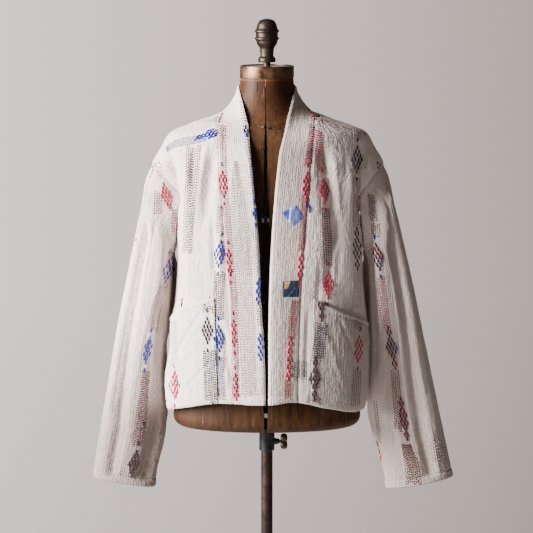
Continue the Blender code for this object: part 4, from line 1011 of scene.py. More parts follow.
def aged_wood():
    """Brown varnished papier-mache over wood: vertical grain, rubbed places and fine scratches."""
    g = Graph("aged_brown_form", 0.52, specular=0.15)
    grain = g.noise(26.0, 6.0, 0.62, stretch=(3.2, 3.2, 0.28))
    fine = g.noise(150.0, 4.0, 0.6, stretch=(2.6, 2.6, 0.16))
    cloud = g.noise(11.0, 5.0, 0.6, stretch=(1.0, 1.0, 0.7))
    scratch = g.range(g.noise(330.0, 2.0, 0.5, stretch=(1.0, 1.0, 0.045)), 0.665, 0.70)
    x, y, z = g.split(g.place)
    neck = g.range(z, 1.383, 1.387)
    rim = g.range(z, 1.4630, 1.4650)
    # Painted shadow of the jacket on the form below its hem, on the left
    foot = g.times(g.range(z, 0.815, 0.800), g.range(x, 0.060, -0.060))
    nick = g.times(g.range(g.gap(x, -0.0178), 0.0020, 0.0012), g.range(g.gap(z, 1.4520), 0.0100, 0.0080))
    nick = g.times(nick, g.range(y, 0.0, -0.01))
    base = g.mix(g.range(grain, 0.32, 0.68), (0.025, 0.009, 0.004), (0.080, 0.035, 0.013))
    for mask, amount, colour in (
            (g.range(fine, 0.50, 0.72), 0.55, (0.114, 0.055, 0.024)),
            (g.range(cloud, 0.52, 0.75), 0.60, (0.130, 0.067, 0.031)),
            (g.range(cloud, 0.44, 0.28), 0.70, (0.014, 0.005, 0.003)),
            (neck, 0.30, (0.050, 0.014, 0.006)), (rim, 0.40, (0.20, 0.070, 0.042)),
            (foot, 0.38, (0.016, 0.007, 0.004)), (nick, 1.0, (0.006, 0.003, 0.002)),
            (scratch, 0.2, (0.30, 0.20, 0.14))):
        base = g.tint(base, mask, amount, colour)
    height = g.plus(g.times(grain, 0.6), fine, 0.25)
    height = g.plus(g.plus(height, scratch, -0.35), nick, -1.0)
    rough = g.range(cloud, 0.30, 0.72, 0.44, 0.68)
    return g.finish(base, height, distance=0.0007, strength=0.7, roughness=rough)


def worn_metal(name, dark, light, roughness, metallic):
    g = Graph(name, roughness, metallic=metallic)
    cloud = g.noise(38.0, 5.0, 0.65)
    spot = g.noise(210.0, 4.0, 0.6)
    rub = g.noise(95.0, 3.0, 0.6, stretch=(1.0, 1.0, 3.5))
    base = g.mix(g.range(cloud, 0.36, 0.66), dark, light)
    base = g.tint(base, g.range(spot, 0.55, 0.72), 0.5, scaled(dark, 0.35))
    base = g.tint(base, g.range(rub, 0.56, 0.72), 0.5, scaled(light, 1.6))
    rough = g.range(cloud, 0.3, 0.7, roughness - 0.08, roughness + 0.16)
    return g.finish(base, spot, distance=0.0004, strength=0.35, roughness=rough)


def patch_cloths():
    """Worn blue and navy cotton, painted on the patches' own coordinates."""
    g = Graph("blue_patch_cloth", 0.9, specular=0.25)
    u, v = g.quilting()
    streak = g.noise(150.0, 4.0, 0.65, stretch=(1.0, 1.0, 0.4))
    base = g.mix(g.range(streak, 0.34, 0.66), (0.22, 0.28, 0.56), (0.055, 0.090, 0.42))
    base = g.tint(base, g.range(g.plus(u, v), 0.66, 0.56), 0.80, (0.018, 0.040, 0.36))
    base = g.mix(g.range(g.gap(g.plus(u, v, 0.92), 0.64), 0.075, 0.035), base, (0.78, 0.77, 0.76))
    blue = g.finish(base, g.math("ADD", streak, g.noise(1500.0)), distance=0.0006, strength=0.8)

    g = Graph("navy_patch_cloth", 0.9, specular=0.25)
    u, v = g.quilting()
    mottle = g.noise(240.0, 4.0, 0.65)
    base = g.mix(g.range(mottle, 0.36, 0.66), (0.007, 0.016, 0.042), (0.030, 0.046, 0.090))
    in_u = g.times(g.range(u, 0.07, 0.12), g.range(g.plus(u, v, 0.38), 0.47, 0.42))
    in_v = g.times(g.range(v, 0.02, 0.06), g.range(v, 0.52, 0.44))
    base = g.tint(base, in_u, in_v, (0.56, 0.40, 0.13))
    base = g.tint(base, g.range(u, 0.88, 0.92), g.range(v, 0.58, 0.50), (0.40, 0.06, 0.05))
    thin = g.times(g.range(g.gap(g.plus(u, v, 0.8), 1.12), 0.030, 0.012), g.range(v, 0.42, 0.50))
    base = g.tint(base, thin, 0.2, (0.55, 0.56, 0.62))
    navy = g.finish(base, g.math("ADD", mottle, g.noise(1500.0)), distance=0.0006, strength=0.8)
    return blue, navy


# The camera, and the places on the cloth that it sees

def make_camera():
    data = bpy.data.cameras.new("camera")
    data.sensor_width = 36.0
    data.lens = CAMERA_FOCUS * data.sensor_width / PHOTO
    bpy.context.scene.camera = put_in_scene("camera", data, CAMERA_PLACE, CAMERA_AIM)


class Caster:
    """Finds the point of the cloth under a place in the photograph's frame, from the front or from behind."""

    def __init__(self, pieces, face):
        points = []
        faces = []
        for piece in pieces:
            start = len(points)
            points.extend(vertex.co.copy() for vertex in piece.data.vertices)
            faces.extend([index + start for index in polygon.vertices] for polygon in piece.data.polygons)
        self.tree = BVHTree.FromPolygons(points, faces)
        turn = Vector((face, face, 1.0))
        self.place = CAMERA_PLACE * turn
        forward = (CAMERA_AIM * turn - self.place).normalized()
        right = forward.cross(Vector((0.0, 0.0, 1.0))).normalized()
        self.axes = (forward, right, right.cross(forward))

    def hit(self, px, py):
        forward, right, up = self.axes
        half = PHOTO / 2
        ray = (forward * CAMERA_FOCUS + right * (px - half) + up * (half - py)).normalized()
        point, normal, index, distance = self.tree.ray_cast(self.place, ray)
        if point is None:
            return None
        return point, normal if normal.dot(ray) < 0 else -normal

    def line(self, start, end, count):
        """Points and normals along a straight line in the frame, or None where it leaves the cloth."""
        found = []
        for share in np.linspace(0, 1, count):
            place = self.hit(start[0] + (end[0] - start[0]) * share, start[1] + (end[1] - start[1]) * share)
            if place is None:
                return None
            found.append(place)
        longest = max((a[0] - b[0]).length for a, b in zip(found[:-1], found[1:]))
        return None if longest > MOST_STEP else found


# Coloured stitches

class Threads:
    """Many stitches of one colour, joined into one mesh."""

    def __init__(self):
        self.points = []
        self.faces = []

    def stitch(self, path, radius, sides=5):
        """A thread that comes up out of the cloth, lies over it and goes back in."""
        if path is None:
            return
        start = len(self.points)
        count = len(path)
        for k, (point, normal) in enumerate(path):
            ahead = path[min(k + 1, count - 1)][0] - path[max(k - 1, 0)][0]
            side = ahead.cross(normal).normalized()
            arch = math.sin(math.pi * k / (count - 1))
            size = radius * (0.78 + 0.22 * arch)
            centre = point + normal * (radius * (0.45 * arch + 0.10))
            for corner in range(sides):
                turn = 2 * math.pi * corner / sides
                self.points.append(centre + side * (size * math.cos(turn)) + normal * (size * math.sin(turn)))
        for row in range(start, start + (count - 1) * sides, sides):
            for corner in range(sides):
                other = (corner + 1) % sides
                self.faces.append((row + corner, row + other, row + sides + other, row + sides + corner))
        last = start + (count - 1) * sides
        self.faces.append(tuple(range(start + sides - 1, start - 1, -1)))
        self.faces.append(tuple(range(last, last + sides)))


def dotted_band(threads, caster, gap, pitch, dash, slant, fold, path, source):
    """Columns of short running stitches whose rows slant, or zigzag every `fold` columns.

    The dash is a stitch's length down the band, or its run across and down.
    """
    run, fall = dash if isinstance(dash, tuple) else (0.0, dash)
    x, y, half = np.array(path, dtype=float).T
    columns = max(int(round(2 * max(half) / gap)), 1)
    for column in range(columns):
        place = (column + 0.5) / columns * 2 - 1
        step = column % (2 * fold)
        step = step if step <= fold else 2 * fold - step
        py = y[0] + pitch * ((slant * step) % 1.0) + source.uniform(0, 3.0)
        last = y[-1] - source.uniform(0, 3.0)
        while py + fall < last:
            from_x, to_x = (np.interp(at, y, x) + place * np.interp(at, y, half) for at in (py, py + fall))
            shake = source.uniform(-SHAKE, SHAKE, 3)
            start = (from_x + shake[0] - run / 2, py + shake[2])
            end = (to_x + shake[1] + run / 2, py + fall + shake[2])
            threads.stitch(caster.line(start, end, 3), DOT_RADIUS, sides=4)
            py += pitch


def diamond(threads, caster, middle, half, lean, source, mixed=None, top=0.0):
    """A diamond of long stitches in rows; each row sits between the stitches of the one above, like a net.

    A part of the stitches may be of a second colour, and a pocket's mouth may cut the diamond off at its top.
    """
    steps = int(half[1] / NET_ROW) + 1
    tilt = 0.35 * (1 if lean > 0 else -1) + 0.20 * lean
    for step in range(-steps, steps + 1):
        share = step * NET_ROW / half[1]
        width = half[0] * (1 - abs(share)) + 0.25
        first = 0.0 if step % 2 else NET_GAP / 2
        for off in [first + NET_GAP * k for k in range(-5, 5)]:
            if abs(off) > max(width, NET_GAP / 2 + 0.1 if abs(share) < 0.86 else 0.1):
                continue
            shake = source.uniform(-SHAKE, SHAKE, 4)
            px = middle[0] + off + lean * share
            py = middle[1] + step * NET_ROW
            if py < top:
                continue
            start = (px - tilt / 2 + shake[0], py - NET_ROW * 0.54 + shake[1])
            end = (px + tilt / 2 + shake[2], py + NET_ROW * 0.54 + shake[3])
            chosen = mixed if mixed is not None and source.uniform() < 0.45 else threads
            chosen.stitch(caster.line(start, end, 5), LONG_RADIUS)


THREAD_COLOURS = {
    # light and dark of each thread
    "red": ((0.58, 0.002, 0.080), (0.40, 0.001, 0.050)),
    "rose": ((0.40, 0.012, 0.066), (0.28, 0.008, 0.042)),
    "maroon": ((0.140, 0.002, 0.020), (0.085, 0.001, 0.012)),
    "mauve": ((0.095, 0.007, 0.030), (0.056, 0.005, 0.019)),
    "blue": ((0.001, 0.018, 0.360), (0.001, 0.010, 0.240)),
    "lilac": ((0.050, 0.060, 0.290), (0.034, 0.040, 0.210)),
    "indigo": ((0.006, 0.030, 0.210), (0.004, 0.018, 0.140)),
    "brick": ((0.250, 0.004, 0.034), (0.160, 0.003, 0.022)),
    "navy": ((0.005, 0.006, 0.040), (0.003, 0.004, 0.022)),
    "plum": ((0.040, 0.005, 0.020), (0.022, 0.003, 0.011)),
    "grey": ((0.440, 0.370, 0.350), (0.360, 0.300, 0.285)),
}

# Places in these tables are columns and rows of the photograph, which is PHOTO pixels wide and tall.
# Bands of short stitches: colour, gap between columns, pitch and dash of the stitches, slant from column to
# column, columns before it turns back, and the band's (x, y, half width)
FRONT_BANDS = [
    ("mauve", 1.9, 2.6, 1.5, 0.33, 3, [(193.5, 144, 7.5), (192, 180, 7), (189, 215, 5.5), (187, 256, 4.5)]),
    ("rose", 1.8, 2.3, 1.1, 0.5, 1,
     [(221.5, 124, 4.2), (222, 180, 4.2), (224, 200, 3.8), (229, 260, 3.4),
      (233.5, 300, 3.2), (235.5, 402, 2.6)]),
    ("maroon", 1.8, 2.6, 1.1, 0.5, 1,
     [(225.4, 146, 0.9), (226.8, 180, 0.9), (228.4, 200, 0.9), (233.2, 260, 0.9),
      (237, 300, 0.9), (238.4, 400, 0.9)]),
    ("mauve", 1.9, 2.3, 1.2, 0.5, 1, [(220.5, 204, 3.2), (219.5, 236, 4.2)]),
    ("plum", 1.9, 2.3, 1.5, 0.5, 1, [(219.4, 271, 5.6), (219, 300, 5.4), (219.8, 322, 4.6)]),
    ("lilac", 1.9, 2.3, 1.2, 0.5, 1, [(220.6, 356, 3), (222.6, 402, 3.4)]),
    ("indigo", 2.6, 2.7, 1, 0, 1, [(241.2, 99, 2.2), (246, 141, 2.2), (251, 170, 2.2), (254.4, 206, 2)]),
    ("indigo", 2.6, 2.7, 1, 0, 1, [(255.4, 222, 2), (257, 250, 2), (258.2, 279, 2)]),
    ("indigo", 2.6, 2.7, 1, 0, 1, [(258.4, 303, 2), (259, 330, 2)]),
    ("indigo", 2.6, 2.7, 1, 0, 1, [(261.6, 364, 1.8), (262, 398, 1.8)]),
    ("grey", 2, 2.6, 1.2, 0.3, 9,
     [(235.5, 160, 2), (238, 215, 9), (242.5, 270, 9), (246, 320, 8), (249, 398, 7.5)]),
    ("rose", 1.8, 2.3, 1.1, 0.5, 1, [(174.6, 319, 3.4), (174.6, 366, 3.4)]),
    ("rose", 1.8, 2.3, 1.1, 0.5, 1, [(174.6, 404, 4), (174.8, 408, 4)]),
    ("plum", 1.9, 2.4, 1.6, 0.33, 3, [(208.4, 303, 4.6), (207.8, 314, 5.4)]),
    ("plum", 1.9, 2.4, 1.6, 0.33, 3, [(208.2, 349, 5.6), (211, 403, 6.4)]),
    ("brick", 1.7, 2.2, 1.1, 0.5, 1, [(312.5, 124, 3), (309.6, 152, 3.8), (307.6, 167, 4)]),
    ("brick", 1.7, 2.2, 1.1, 0.5, 1, [(304.4, 190, 3.4), (303.6, 216, 3.6), (301, 254, 3.8)]),
    ("brick", 1.7, 2.2, 1.1, 0.5, 1, [(295.5, 298, 4.2), (292.5, 320, 4.2), (290.4, 340, 4)]),
    ("brick", 1.7, 2.2, 1.1, 0.5, 1, [(287.8, 378, 3.6), (287.4, 402, 3.8)]),
    ("maroon", 1.7, 2.6, 1.1, 0.5, 1, [(303.8, 222, 0.7), (302.6, 254, 0.7)]),
    ("navy", 2.2, 2.4, 1, 0.5, 1, [(299.5, 359, 8), (299.5, 381, 8)]),
    ("rose", 1.8, 2.3, 1.1, 0.33, 3, [(317.5, 128, 3.6), (321.5, 174, 4.6)]),
    ("maroon", 2.6, 2.4, (1.4, 0.35), 0.33, 3, [(325, 206, 4.6), (327, 240, 5.2), (328, 266, 4.6)]),
    ("grey", 1.9, 2.3, 1.2, 0.33, 3, [(357, 128, 4.2), (356.8, 143, 4.2)]),
    ("mauve", 1.9, 2.3, 1.2, 0.5, 1, [(356.8, 176, 4), (356.8, 229, 4.2)]),
    ("grey", 1.9, 2.3, 1.2, 0.33, 3, [(356.6, 269, 4.6), (356.4, 310, 5)]),
    ("navy", 1.8, 2.3, 1.3, 0.33, 3, [(321.6, 322, 6.2), (318.6, 346, 6.2), (316.4, 362, 6)]),
    ("mauve", 1.9, 2.3, 1.1, 0.5, 1, [(313.8, 396, 7), (313, 405, 7.5)]),
    ("maroon", 1.9, 2.3, 1.1, 0.33, 3, [(357.6, 318, 4), (358.4, 331, 4)]),
    ("maroon", 1.9, 2.3, 1.1, 0.33, 3, [(357.4, 367, 4.2), (355, 408, 5)]),
    ("rose", 2.2, 2.8, 1.2, 0.33, 3, [(157.5, 162, 3), (162.5, 180, 5)]),
    ("mauve", 2.2, 2.4, 1.2, 0.33, 4, [(158.5, 190, 4.5), (157, 216, 4.5)]),
    ("maroon", 2, 2.6, 1.3, 0.33, 3, [(173.5, 206, 2.5), (174.8, 236, 3)]),
    ("mauve", 1.8, 2.3, 1.1, 0.5, 1, [(169.6, 250, 2.4), (171, 256, 2.6)]),
    ("mauve", 1.8, 2.2, 1.1, 0.33, 3, [(164.5, 283, 4.2), (158, 300, 5), (155, 318, 5.2), (153, 334, 3.6)]),
    ("mauve", 1.8, 2.3, 1.1, 0.5, 1,
     [(146.2, 369, 4.2), (144, 392, 4.5), (140.5, 420, 6.4), (137, 447, 5.6)]),
    ("navy", 2.4, 2.6, 1.1, 0.5, 1, [(143.6, 420, 1.2), (143, 442, 1.2)]),
    ("grey", 2.2, 2.6, 1.2, 0.33, 4, [(118, 462, 12), (116, 478, 13)]),
    ("rose", 2, 3, 1.2, 0.5, 1, [(148.4, 180, 1.4), (141, 214, 1.4), (136.5, 236, 1.4)]),
    ("maroon", 1.9, 2.4, 1.3, 0, 1, [(370.5, 193, 3), (374, 222, 4.2)]),
    ("mauve", 1.9, 2.3, 1.2, 0.33, 3, [(375.5, 222, 4.6), (375.8, 239, 4.6)]),
    ("rose", 1.9, 2.4, 1.1, 0.5, 1, [(380, 276, 4), (383.5, 306, 5), (386.8, 331, 4.2)]),
    ("mauve", 1.9, 2.3, 1.1, 0.33, 3, [(394.6, 368, 4.4), (397, 400, 4.6), (398.5, 432, 3.4)]),
    ("maroon", 2, 2.4, 1.3, 0.33, 4, [(405, 442, 4.5), (411, 462, 7.5), (414, 487, 8)]),
    ("grey", 2.3, 3, 1.3, 0.33, 5, [(436, 438, 7), (440, 466, 8)]),
    ("navy", 2.2, 2.7, 1.1, 0.5, 1, [(375, 400, 2.6), (380, 446, 1.6)]),
]
# The band over the left shoulder runs across, so it is given by (x, y, half height)
SHOULDER_BAND = [
    (166, 149, 3), (175, 143.5, 4.2), (190, 140.5, 4.4), (206, 137.5, 3.6),
]
SHOULDER_ROWS = 6
# The leaf of long blue stitches at that band's end
LEAF_START = 194.5
LEAF_LENGTH = 22.5
# Columns and rows of the stitched seam over the right shoulder
SHOULDER_SEAM = ((316, 340, 362), (119.6, 126, 131.8))

# Diamonds of long stitches: colour, middle, half width and half height, lean from the middle to the foot
FRONT_DIAMONDS = [
    ("red", (222.8, 184), (4, 16.5), 1), ("red", (229, 262.5), (3.7, 17.5), 1.2),
    ("red", (233.5, 333), (3.6, 17), 0.6), ("red", (235.6, 387), (2.2, 16), 0.8),
    ("blue", (219.6, 254), (4.9, 16.2), -1.5), ("blue", (218.8, 338.5), (4.7, 16.5), 0.5),
    ("blue", (245.6, 131), (1.6, 6), 0.8), ("blue", (254.6, 213.5), (1.8, 8), 0.5),
    ("blue", (258.2, 291), (2, 11), -0.3), ("blue", (260.2, 347), (3.2, 14.5), 0.3),
    ("plum", (207.2, 330.5), (5, 17.8), 0.3), ("red", (174.6, 385.5), (4.8, 17.5), 0.3),
    ("red", (175.8, 384), (3.2, 14), 0.3), ("red", (306.2, 185), (4.3, 17), -0.8),
    ("red", (299.8, 266.5), (3.4, 12), -1.2), ("red", (288.8, 359), (3.4, 19), -1),
    ("red", (324, 191), (5, 16), 1.2), ("red", (327.8, 285), (5.4, 18), -0.6),
    ("navy", (356.8, 159.5), (4.6, 16.5), -0.6), ("plum", (356.8, 249), (4.2, 19), 0.3),
    ("plum", (314.6, 378.5), (6.4, 18.5), -0.5), ("red", (358.6, 349), (4.4, 17), -1),
    ("red", (166.4, 196), (5.2, 14.5), 3.6), ("blue", (168.4, 269.5), (4.9, 14.5), -4.2),
    ("blue", (147.5, 350), (4.4, 17.5), -3.2), ("plum", (133.6, 463.5), (6.2, 17), -3.4),
    ("maroon+indigo", (377.6, 257), (5, 18), 2.6), ("maroon+indigo", (391.6, 348), (4.6, 18.5), 3.2),
    ("maroon", (403.6, 419), (4.2, 20), 3.2),
]
# A dark navy thread along the left pocket's inner edge, as painted shadow of the gap between the pocket and
# the front
POCKET_GAP_SHADOW_LINE = [(213.9, 300), (214.5, 345), (216.6, 372), (219, 396)]
# Diamonds cut off by a pocket's mouth: the same, and the row of the cut
CUT_DIAMONDS = [("plum", (321.6, 300), (6.2, 21), -0.5, 300.4)]
# Single marks by colour: start and end
FRONT_MARKS = {
    "red": [
        (307.6, 109, 309.2, 111), (309.8, 111.6, 311.4, 113.6), (311.8, 114.2, 313, 116.4),
        (313.3, 117.2, 313.8, 119.8), (363, 132.4, 364.6, 133.8), (364.8, 134.2, 366.2, 136),
        (222.6, 113.2, 221.2, 115.8), (220.9, 116, 219.9, 118.6), (219.6, 118.6, 219, 120.6),
        (218.8, 121, 218.6, 122.8), (153.6, 165.8, 152.8, 168.4), (153.2, 169, 152.4, 171.4),
        (152.4, 172, 151.8, 174.4), (150.6, 175.4, 149.9, 177.8), (136.6, 238, 135.6, 241.2),
        (364, 132.4, 364.8, 134), (376.8, 441, 378.6, 447), (378.8, 448, 380.2, 454),
        (380.4, 455, 381.6, 461), (382, 462.6, 383.2, 469), (182.2, 300, 181.8, 303),
    ],
    "plum": [
        (155.6, 164.2, 155.2, 165.8), (159.4, 161.6, 159, 163.4), (182.4, 298, 181.8, 301.6),
        (182, 302.2, 181.4, 307), (212.6, 402, 213, 403.8), (215.4, 404.4, 213.8, 406.2),
    ],
    "navy": [(168.2, 147.8, 167.8, 149.4), (168.2, 150.6, 167.6, 152.2)],
    "blue": [(209.2, 296.6, 210, 298), (308.8, 203.6, 308.6, 207.8), (309.8, 206, 309.2, 212.6)],
    "maroon": [
        (376.6, 161.8, 377.8, 164.6), (377, 166.2, 378.4, 168.8), (380.4, 163.4, 379.4, 166.4),
        (308.2, 197.4, 307.6, 203),
    ],
}

# The same kinds of band and diamond on the back, in the frame that a camera behind would see
BACK_BANDS = [
    ("rose", 1.9, 2.4, 1.1, 0.33, 3, [(206, 124, 4), (208, 200, 4.4), (204, 300, 4.6), (202, 402, 4.6)]),
    ("mauve", 1.9, 2.4, 1.2, 0.33, 3, [(234, 122, 5.5), (236, 240, 5.5), (232, 402, 5.5)]),
    ("navy", 1.9, 2.4, 1.1, 0.5, 1, [(266, 120, 4), (266, 260, 4.4), (266, 404, 4.4)]),
    ("rose", 1.9, 2.4, 1.1, 0.5, 1, [(298, 122, 4.4), (297, 240, 4.4), (300, 402, 4.4)]),
    ("grey", 1.9, 2.4, 1.2, 0.33, 3, [(328, 126, 5.5), (330, 240, 5.5), (332, 402, 5.5)]),
    ("mauve", 1.9, 2.4, 1.2, 0.5, 1, [(178, 146, 3.6), (179, 220, 3.6), (177, 402, 4)]),
    ("rose", 1.9, 2.4, 1.2, 0.5, 1, [(356, 146, 3.6), (355, 220, 3.6), (357, 402, 4)]),
    ("mauve", 1.9, 2.4, 1.2, 0.33, 3, [(158, 190, 4), (146, 300, 4.6), (136, 400, 4.8), (126, 480, 5)]),
    ("rose", 1.9, 2.4, 1.2, 0.5, 1, [(376, 190, 4), (386, 300, 4.6), (396, 400, 4.8), (406, 480, 5)]),
]
BACK_DIAMONDS = [
    ("red", (207, 164), (5, 17), 0.4), ("blue", (206, 262), (5, 17), -0.6),
    ("red", (203, 356), (5, 17), -0.4), ("plum", (235, 208), (5.6, 17.5), 0.4),
    ("red", (233.6, 316), (5.6, 17.5), -0.4), ("blue", (266, 166), (5, 16.5), 0),
    ("red", (266, 250), (5, 17), 0), ("blue", (266, 352), (5, 17), 0),
    ("red", (297.6, 204), (5.2, 17), -0.3), ("plum", (298.6, 304), (5.2, 17), 0.3),
    ("blue", (328.6, 168), (5.4, 17), 0.3), ("red", (330.4, 262), (5.4, 17), 0.4),
    ("plum", (331.4, 360), (5.4, 17), 0.3), ("blue", (179, 250), (4.4, 16), 0),
    ("red", (356, 240), (4.4, 16), 0), ("red", (148, 282), (5.2, 17), -1.8),
    ("blue", (137.4, 386), (5.2, 17), -1.8), ("plum", (384, 276), (5.2, 17), 1.8),
    ("red", (397.4, 410), (5.2, 17), 1.8),
]

# Corners of the mended patches
PATCH_DIAMOND = [(281.5, 212.5), (296, 205), (304.5, 217), (293, 226)]
PATCH_SQUARE = [(283, 281.5), (300, 280), (298.5, 297), (282.5, 297)]


def sew_colours(front, behind):
    """All the coloured stitches, one joined mesh for each colour."""
    source = np.random.RandomState(5)
    threads = {colour: Threads() for colour in THREAD_COLOURS}
    for caster, bands, diamonds in (
            (front, FRONT_BANDS, FRONT_DIAMONDS), (behind, BACK_BANDS, BACK_DIAMONDS)):
        for colour, gap, pitch, dash, slant, fold, path in bands:
            dotted_band(threads[colour], caster, gap, pitch, dash, slant, fold, path, source)
        for colours, middle, half, lean in diamonds:
            first, *second = colours.split("+")
            mixed = threads[second[0]] if second else None
            diamond(threads[first], caster, middle, half, lean, source, mixed=mixed)
    # Painted shadow: a dark navy thread along the left pocket's inner edge
    for start, end in zip(POCKET_GAP_SHADOW_LINE[:-1], POCKET_GAP_SHADOW_LINE[1:]):
        threads["navy"].stitch(front.line(start, end, 12), LINE_RADIUS)
    for colour, middle, half, lean, top in CUT_DIAMONDS:
        diamond(threads[colour], front, middle, half, lean, source, top=top)
    for colour, marks in FRONT_MARKS.items():
        for x, y, end_x, end_y in marks:
            threads[colour].stitch(front.line((x, y), (end_x, end_y), 4), LONG_RADIUS * 0.9)
    shoulder_stitches(threads, front, source)
    pieces = []
    for colour, (light, dark) in THREAD_COLOURS.items():
        made = threads[colour]
        material = thread("thread_" + colour, light, dark)
        pieces.append(mesh_piece("stitches_" + colour, made.points, made.faces, material, sharp=180))
    return pieces


def shoulder_stitches(threads, caster, source):
    """The dotted band over the left shoulder with a leaf of long stitches, and the right shoulder's seam."""
    x, y, half = np.array(SHOULDER_BAND).T
    for k in range(SHOULDER_ROWS):
        place = (k + 0.5) / SHOULDER_ROWS * 2 - 1
        px = x[0] + 1.1 * (k % 2)
        while px < x[-1]:
            py = np.interp(px, x, y) + place * np.interp(px, x, half)
            shake = source.uniform(-SHAKE, SHAKE, 2)
            start = (px + shake[0], py + shake[1])
            end = (start[0] + 1.3, start[1] - 0.3)
            threads["lilac"].stitch(caster.line(start, end, 3), DOT_RADIUS, sides=4)
            px += 2.2
    for px in np.arange(317.0, 361.0, 2.4):
        py = np.interp(px, *SHOULDER_SEAM) + source.uniform(-0.3, 0.3)
        threads["rose"].stitch(caster.line((px, py), (px + 1.4, py + 0.4), 3), DOT_RADIUS * 0.8, sides=4)
    for k in range(4):
        for step in range(6):
            px = LEAF_START + step * 4.0 + 2.0 * (k % 2)
            share = (px + 2.0 - LEAF_START) / LEAF_LENGTH
            off = (k - 1.5) * 2.3
            if share > 1.0 or abs(off) > np.interp(share, [0.0, 0.30, 0.75, 1.0], [0.8, 2.4, 4.4, 3.2]):
                continue
            py = 138.6 - 6.2 * share + off
            threads["blue"].stitch(caster.line((px - 0.6, py + 1.3), (px + 3.6, py - 1.6), 5), LONG_RADIUS)


# Pockets and patches

def pocket_cloth(side, front, seed):
    """A patch pocket on the front's own surface, moved out."""
    first, last = (int(round(share * FRONT_COLUMNS)) for share in POCKET_SPAN[side])
    across = np.linspace(0, 1, last - first + 1)
    mouth = np.interp(across, [0.0, POCKET_BEND, 1.0], POCKETS[side])
    rows = np.linspace(0, 1, POCKET_ROWS)
    heights = HEM_SIDE + POCKET_FOOT + (mouth[None, :] - HEM_SIDE - POCKET_FOOT) * rows[:, None]

    def read(field):
        """The front's own values at the pocket's columns and heights."""
        return np.array([[np.interp(heights[:, c], HEIGHTS, field[:, first + c, k])
                          for c in range(len(across))] for k in range(3)]).T

    out = unit(read(front.normal))
    belly = POCKET_BELLY * np.sin(math.pi * across)[None, :] * rows[:, None] ** 2
    grid = read(front.grid + front.normal * front.soft[..., None])
    pocket = Cloth(grid + out * (CLOTH + LAY_GAP + belly)[..., None], side, seed)
    pocket.hem(1, width=0.010, groove=0.0012)
    pocket.groove(0, HEM_WIDTH, 0.0012)
    for edge in (0, 3):
        pocket.seam(edge, depth=0.0013, reach=0.0024)
    pocket.seam(2, depth=0.0003, reach=0.0015)
    if side < 0:
        # The left pocket's rows of stitches run across
        pocket.quilting = np.stack([pocket.down / 0.0046, pocket.across / STITCH_PITCH], axis=2)
    pocket_shadow(front, first, last, mouth)
    for row in POCKET_CREASES[side]:
        pocket.crease(*row)
    return pocket


def pocket_shadow(front, first, last, mouth):
    """Press the front in along the pocket's mouth and inner edge, where its thickness drags on the cloth."""
    heights = np.array(HEIGHTS)[:, None]
    above = heights - mouth[None, :]
    front.relief[:, first:last + 1] -= MOUTH_PRESS * np.exp(-((above - 0.001) / 0.0026) ** 2)
    beside = (first - np.arange(first)) * front.width / FRONT_COLUMNS
    inside = ease((mouth[0] - heights) / 0.004)
    front.relief[:, :first] -= EDGE_PRESS * inside * np.exp(-(beside[None, :] / 0.0022) ** 2)


def patch_piece(name, corners, material, caster):
    """A small patch sewn on by its edge, through four corners in the photograph's frame."""
    end = PATCH_STEPS
    count = end + 1
    source = np.random.RandomState(len(name))
    fray = np.cumsum(source.uniform(-0.06, 0.06, (4, count)), axis=1)
    a, b, c, d = (np.array(corner) for corner in corners)
    found = []
    for r in range(count):
        for s in range(count):
            u, v = s / end, r / end
            place = (a * (1 - u) + b * u) * (1 - v) + (d * (1 - u) + c * u) * v
            place[0] += fray[0, r] * (1 - u) + fray[1, r] * u
            place[1] += fray[2, s] * (1 - v) + fray[3, s] * v
            found.append(caster.hit(*place))
    grid, normal = (np.array([tuple(hit[k]) for hit in found]).reshape(count, count, 3) for k in (0, 1))
    normal = unit(normal.mean(axis=(0, 1)) * 2 + normal)
    from_edge = np.minimum(np.arange(count), np.arange(count)[::-1])
    from_border = np.minimum(from_edge[:, None], from_edge[None, :])
    raised = grid + normal * (PATCH_LIFT * (0.35 + 0.65 * ease(from_border / 2.5)))[..., None]
    sunk = grid - normal * 0.0003
    rings = []
    for r in range(end):
        for s in range(end):
            ring = [(r, s), (r, s + 1), (r + 1, s + 1), (r + 1, s)]
            rings += [[(0, *place) for place in ring], [(1, *place) for place in ring[::-1]]]
    border = [(0, s) for s in range(end)] + [(r, end) for r in range(end)]
    border += [(end, s) for s in range(end, 0, -1)] + [(r, 0) for r in range(end, 0, -1)]
    for here, after in zip(border, border[1:] + border[:1]):
        rings.append([(0, *here), (1, *here), (1, *after), (0, *after)])
    faces = [[(low * count + r) * count + s for low, r, s in ring] for ring in rings]
    uvs = [(s / end, r / end) for ring in rings for low, r, s in ring]
    points = np.vstack([raised.reshape(-1, 3), sunk.reshape(-1, 3)])
    piece = mesh_piece(name, points, faces, material, uvs=uvs)
    flat = [float(step_lengths(raised, way).sum(axis=way).max()) for way in (1, 0)]
    return piece, flat, grid_area(raised)


# The dress form

def form_rows():
    """Height, half width, front, back and slot of each row, from the hole in the underside up."""
    low = FORM_FLOOR + FORM_CORNER
    width, front, back, slot = read_table(FORM_SECTIONS, low)[0]
    rows = [(FORM_FLOOR, FORM_HOLE, FORM_HOLE, FORM_HOLE, slot),
            (FORM_FLOOR, width * 0.5, front * 0.5, back * 0.5, slot)]
    for turn in np.linspace(0, math.pi / 2, 9)[:-1]:
        inset = FORM_CORNER * (1 - math.sin(turn))
        height = FORM_FLOOR + FORM_CORNER * (1 - math.cos(turn))
        rows.append((height, width - inset, front - inset, back - inset, slot))
    heights = np.linspace(FORM_SECTIONS[0][0], FORM_SECTIONS[-1][0], FORM_ROWS)
    rows += [(height, *sizes) for height, sizes in zip(heights, read_table(FORM_SECTIONS, heights))]
    return rows


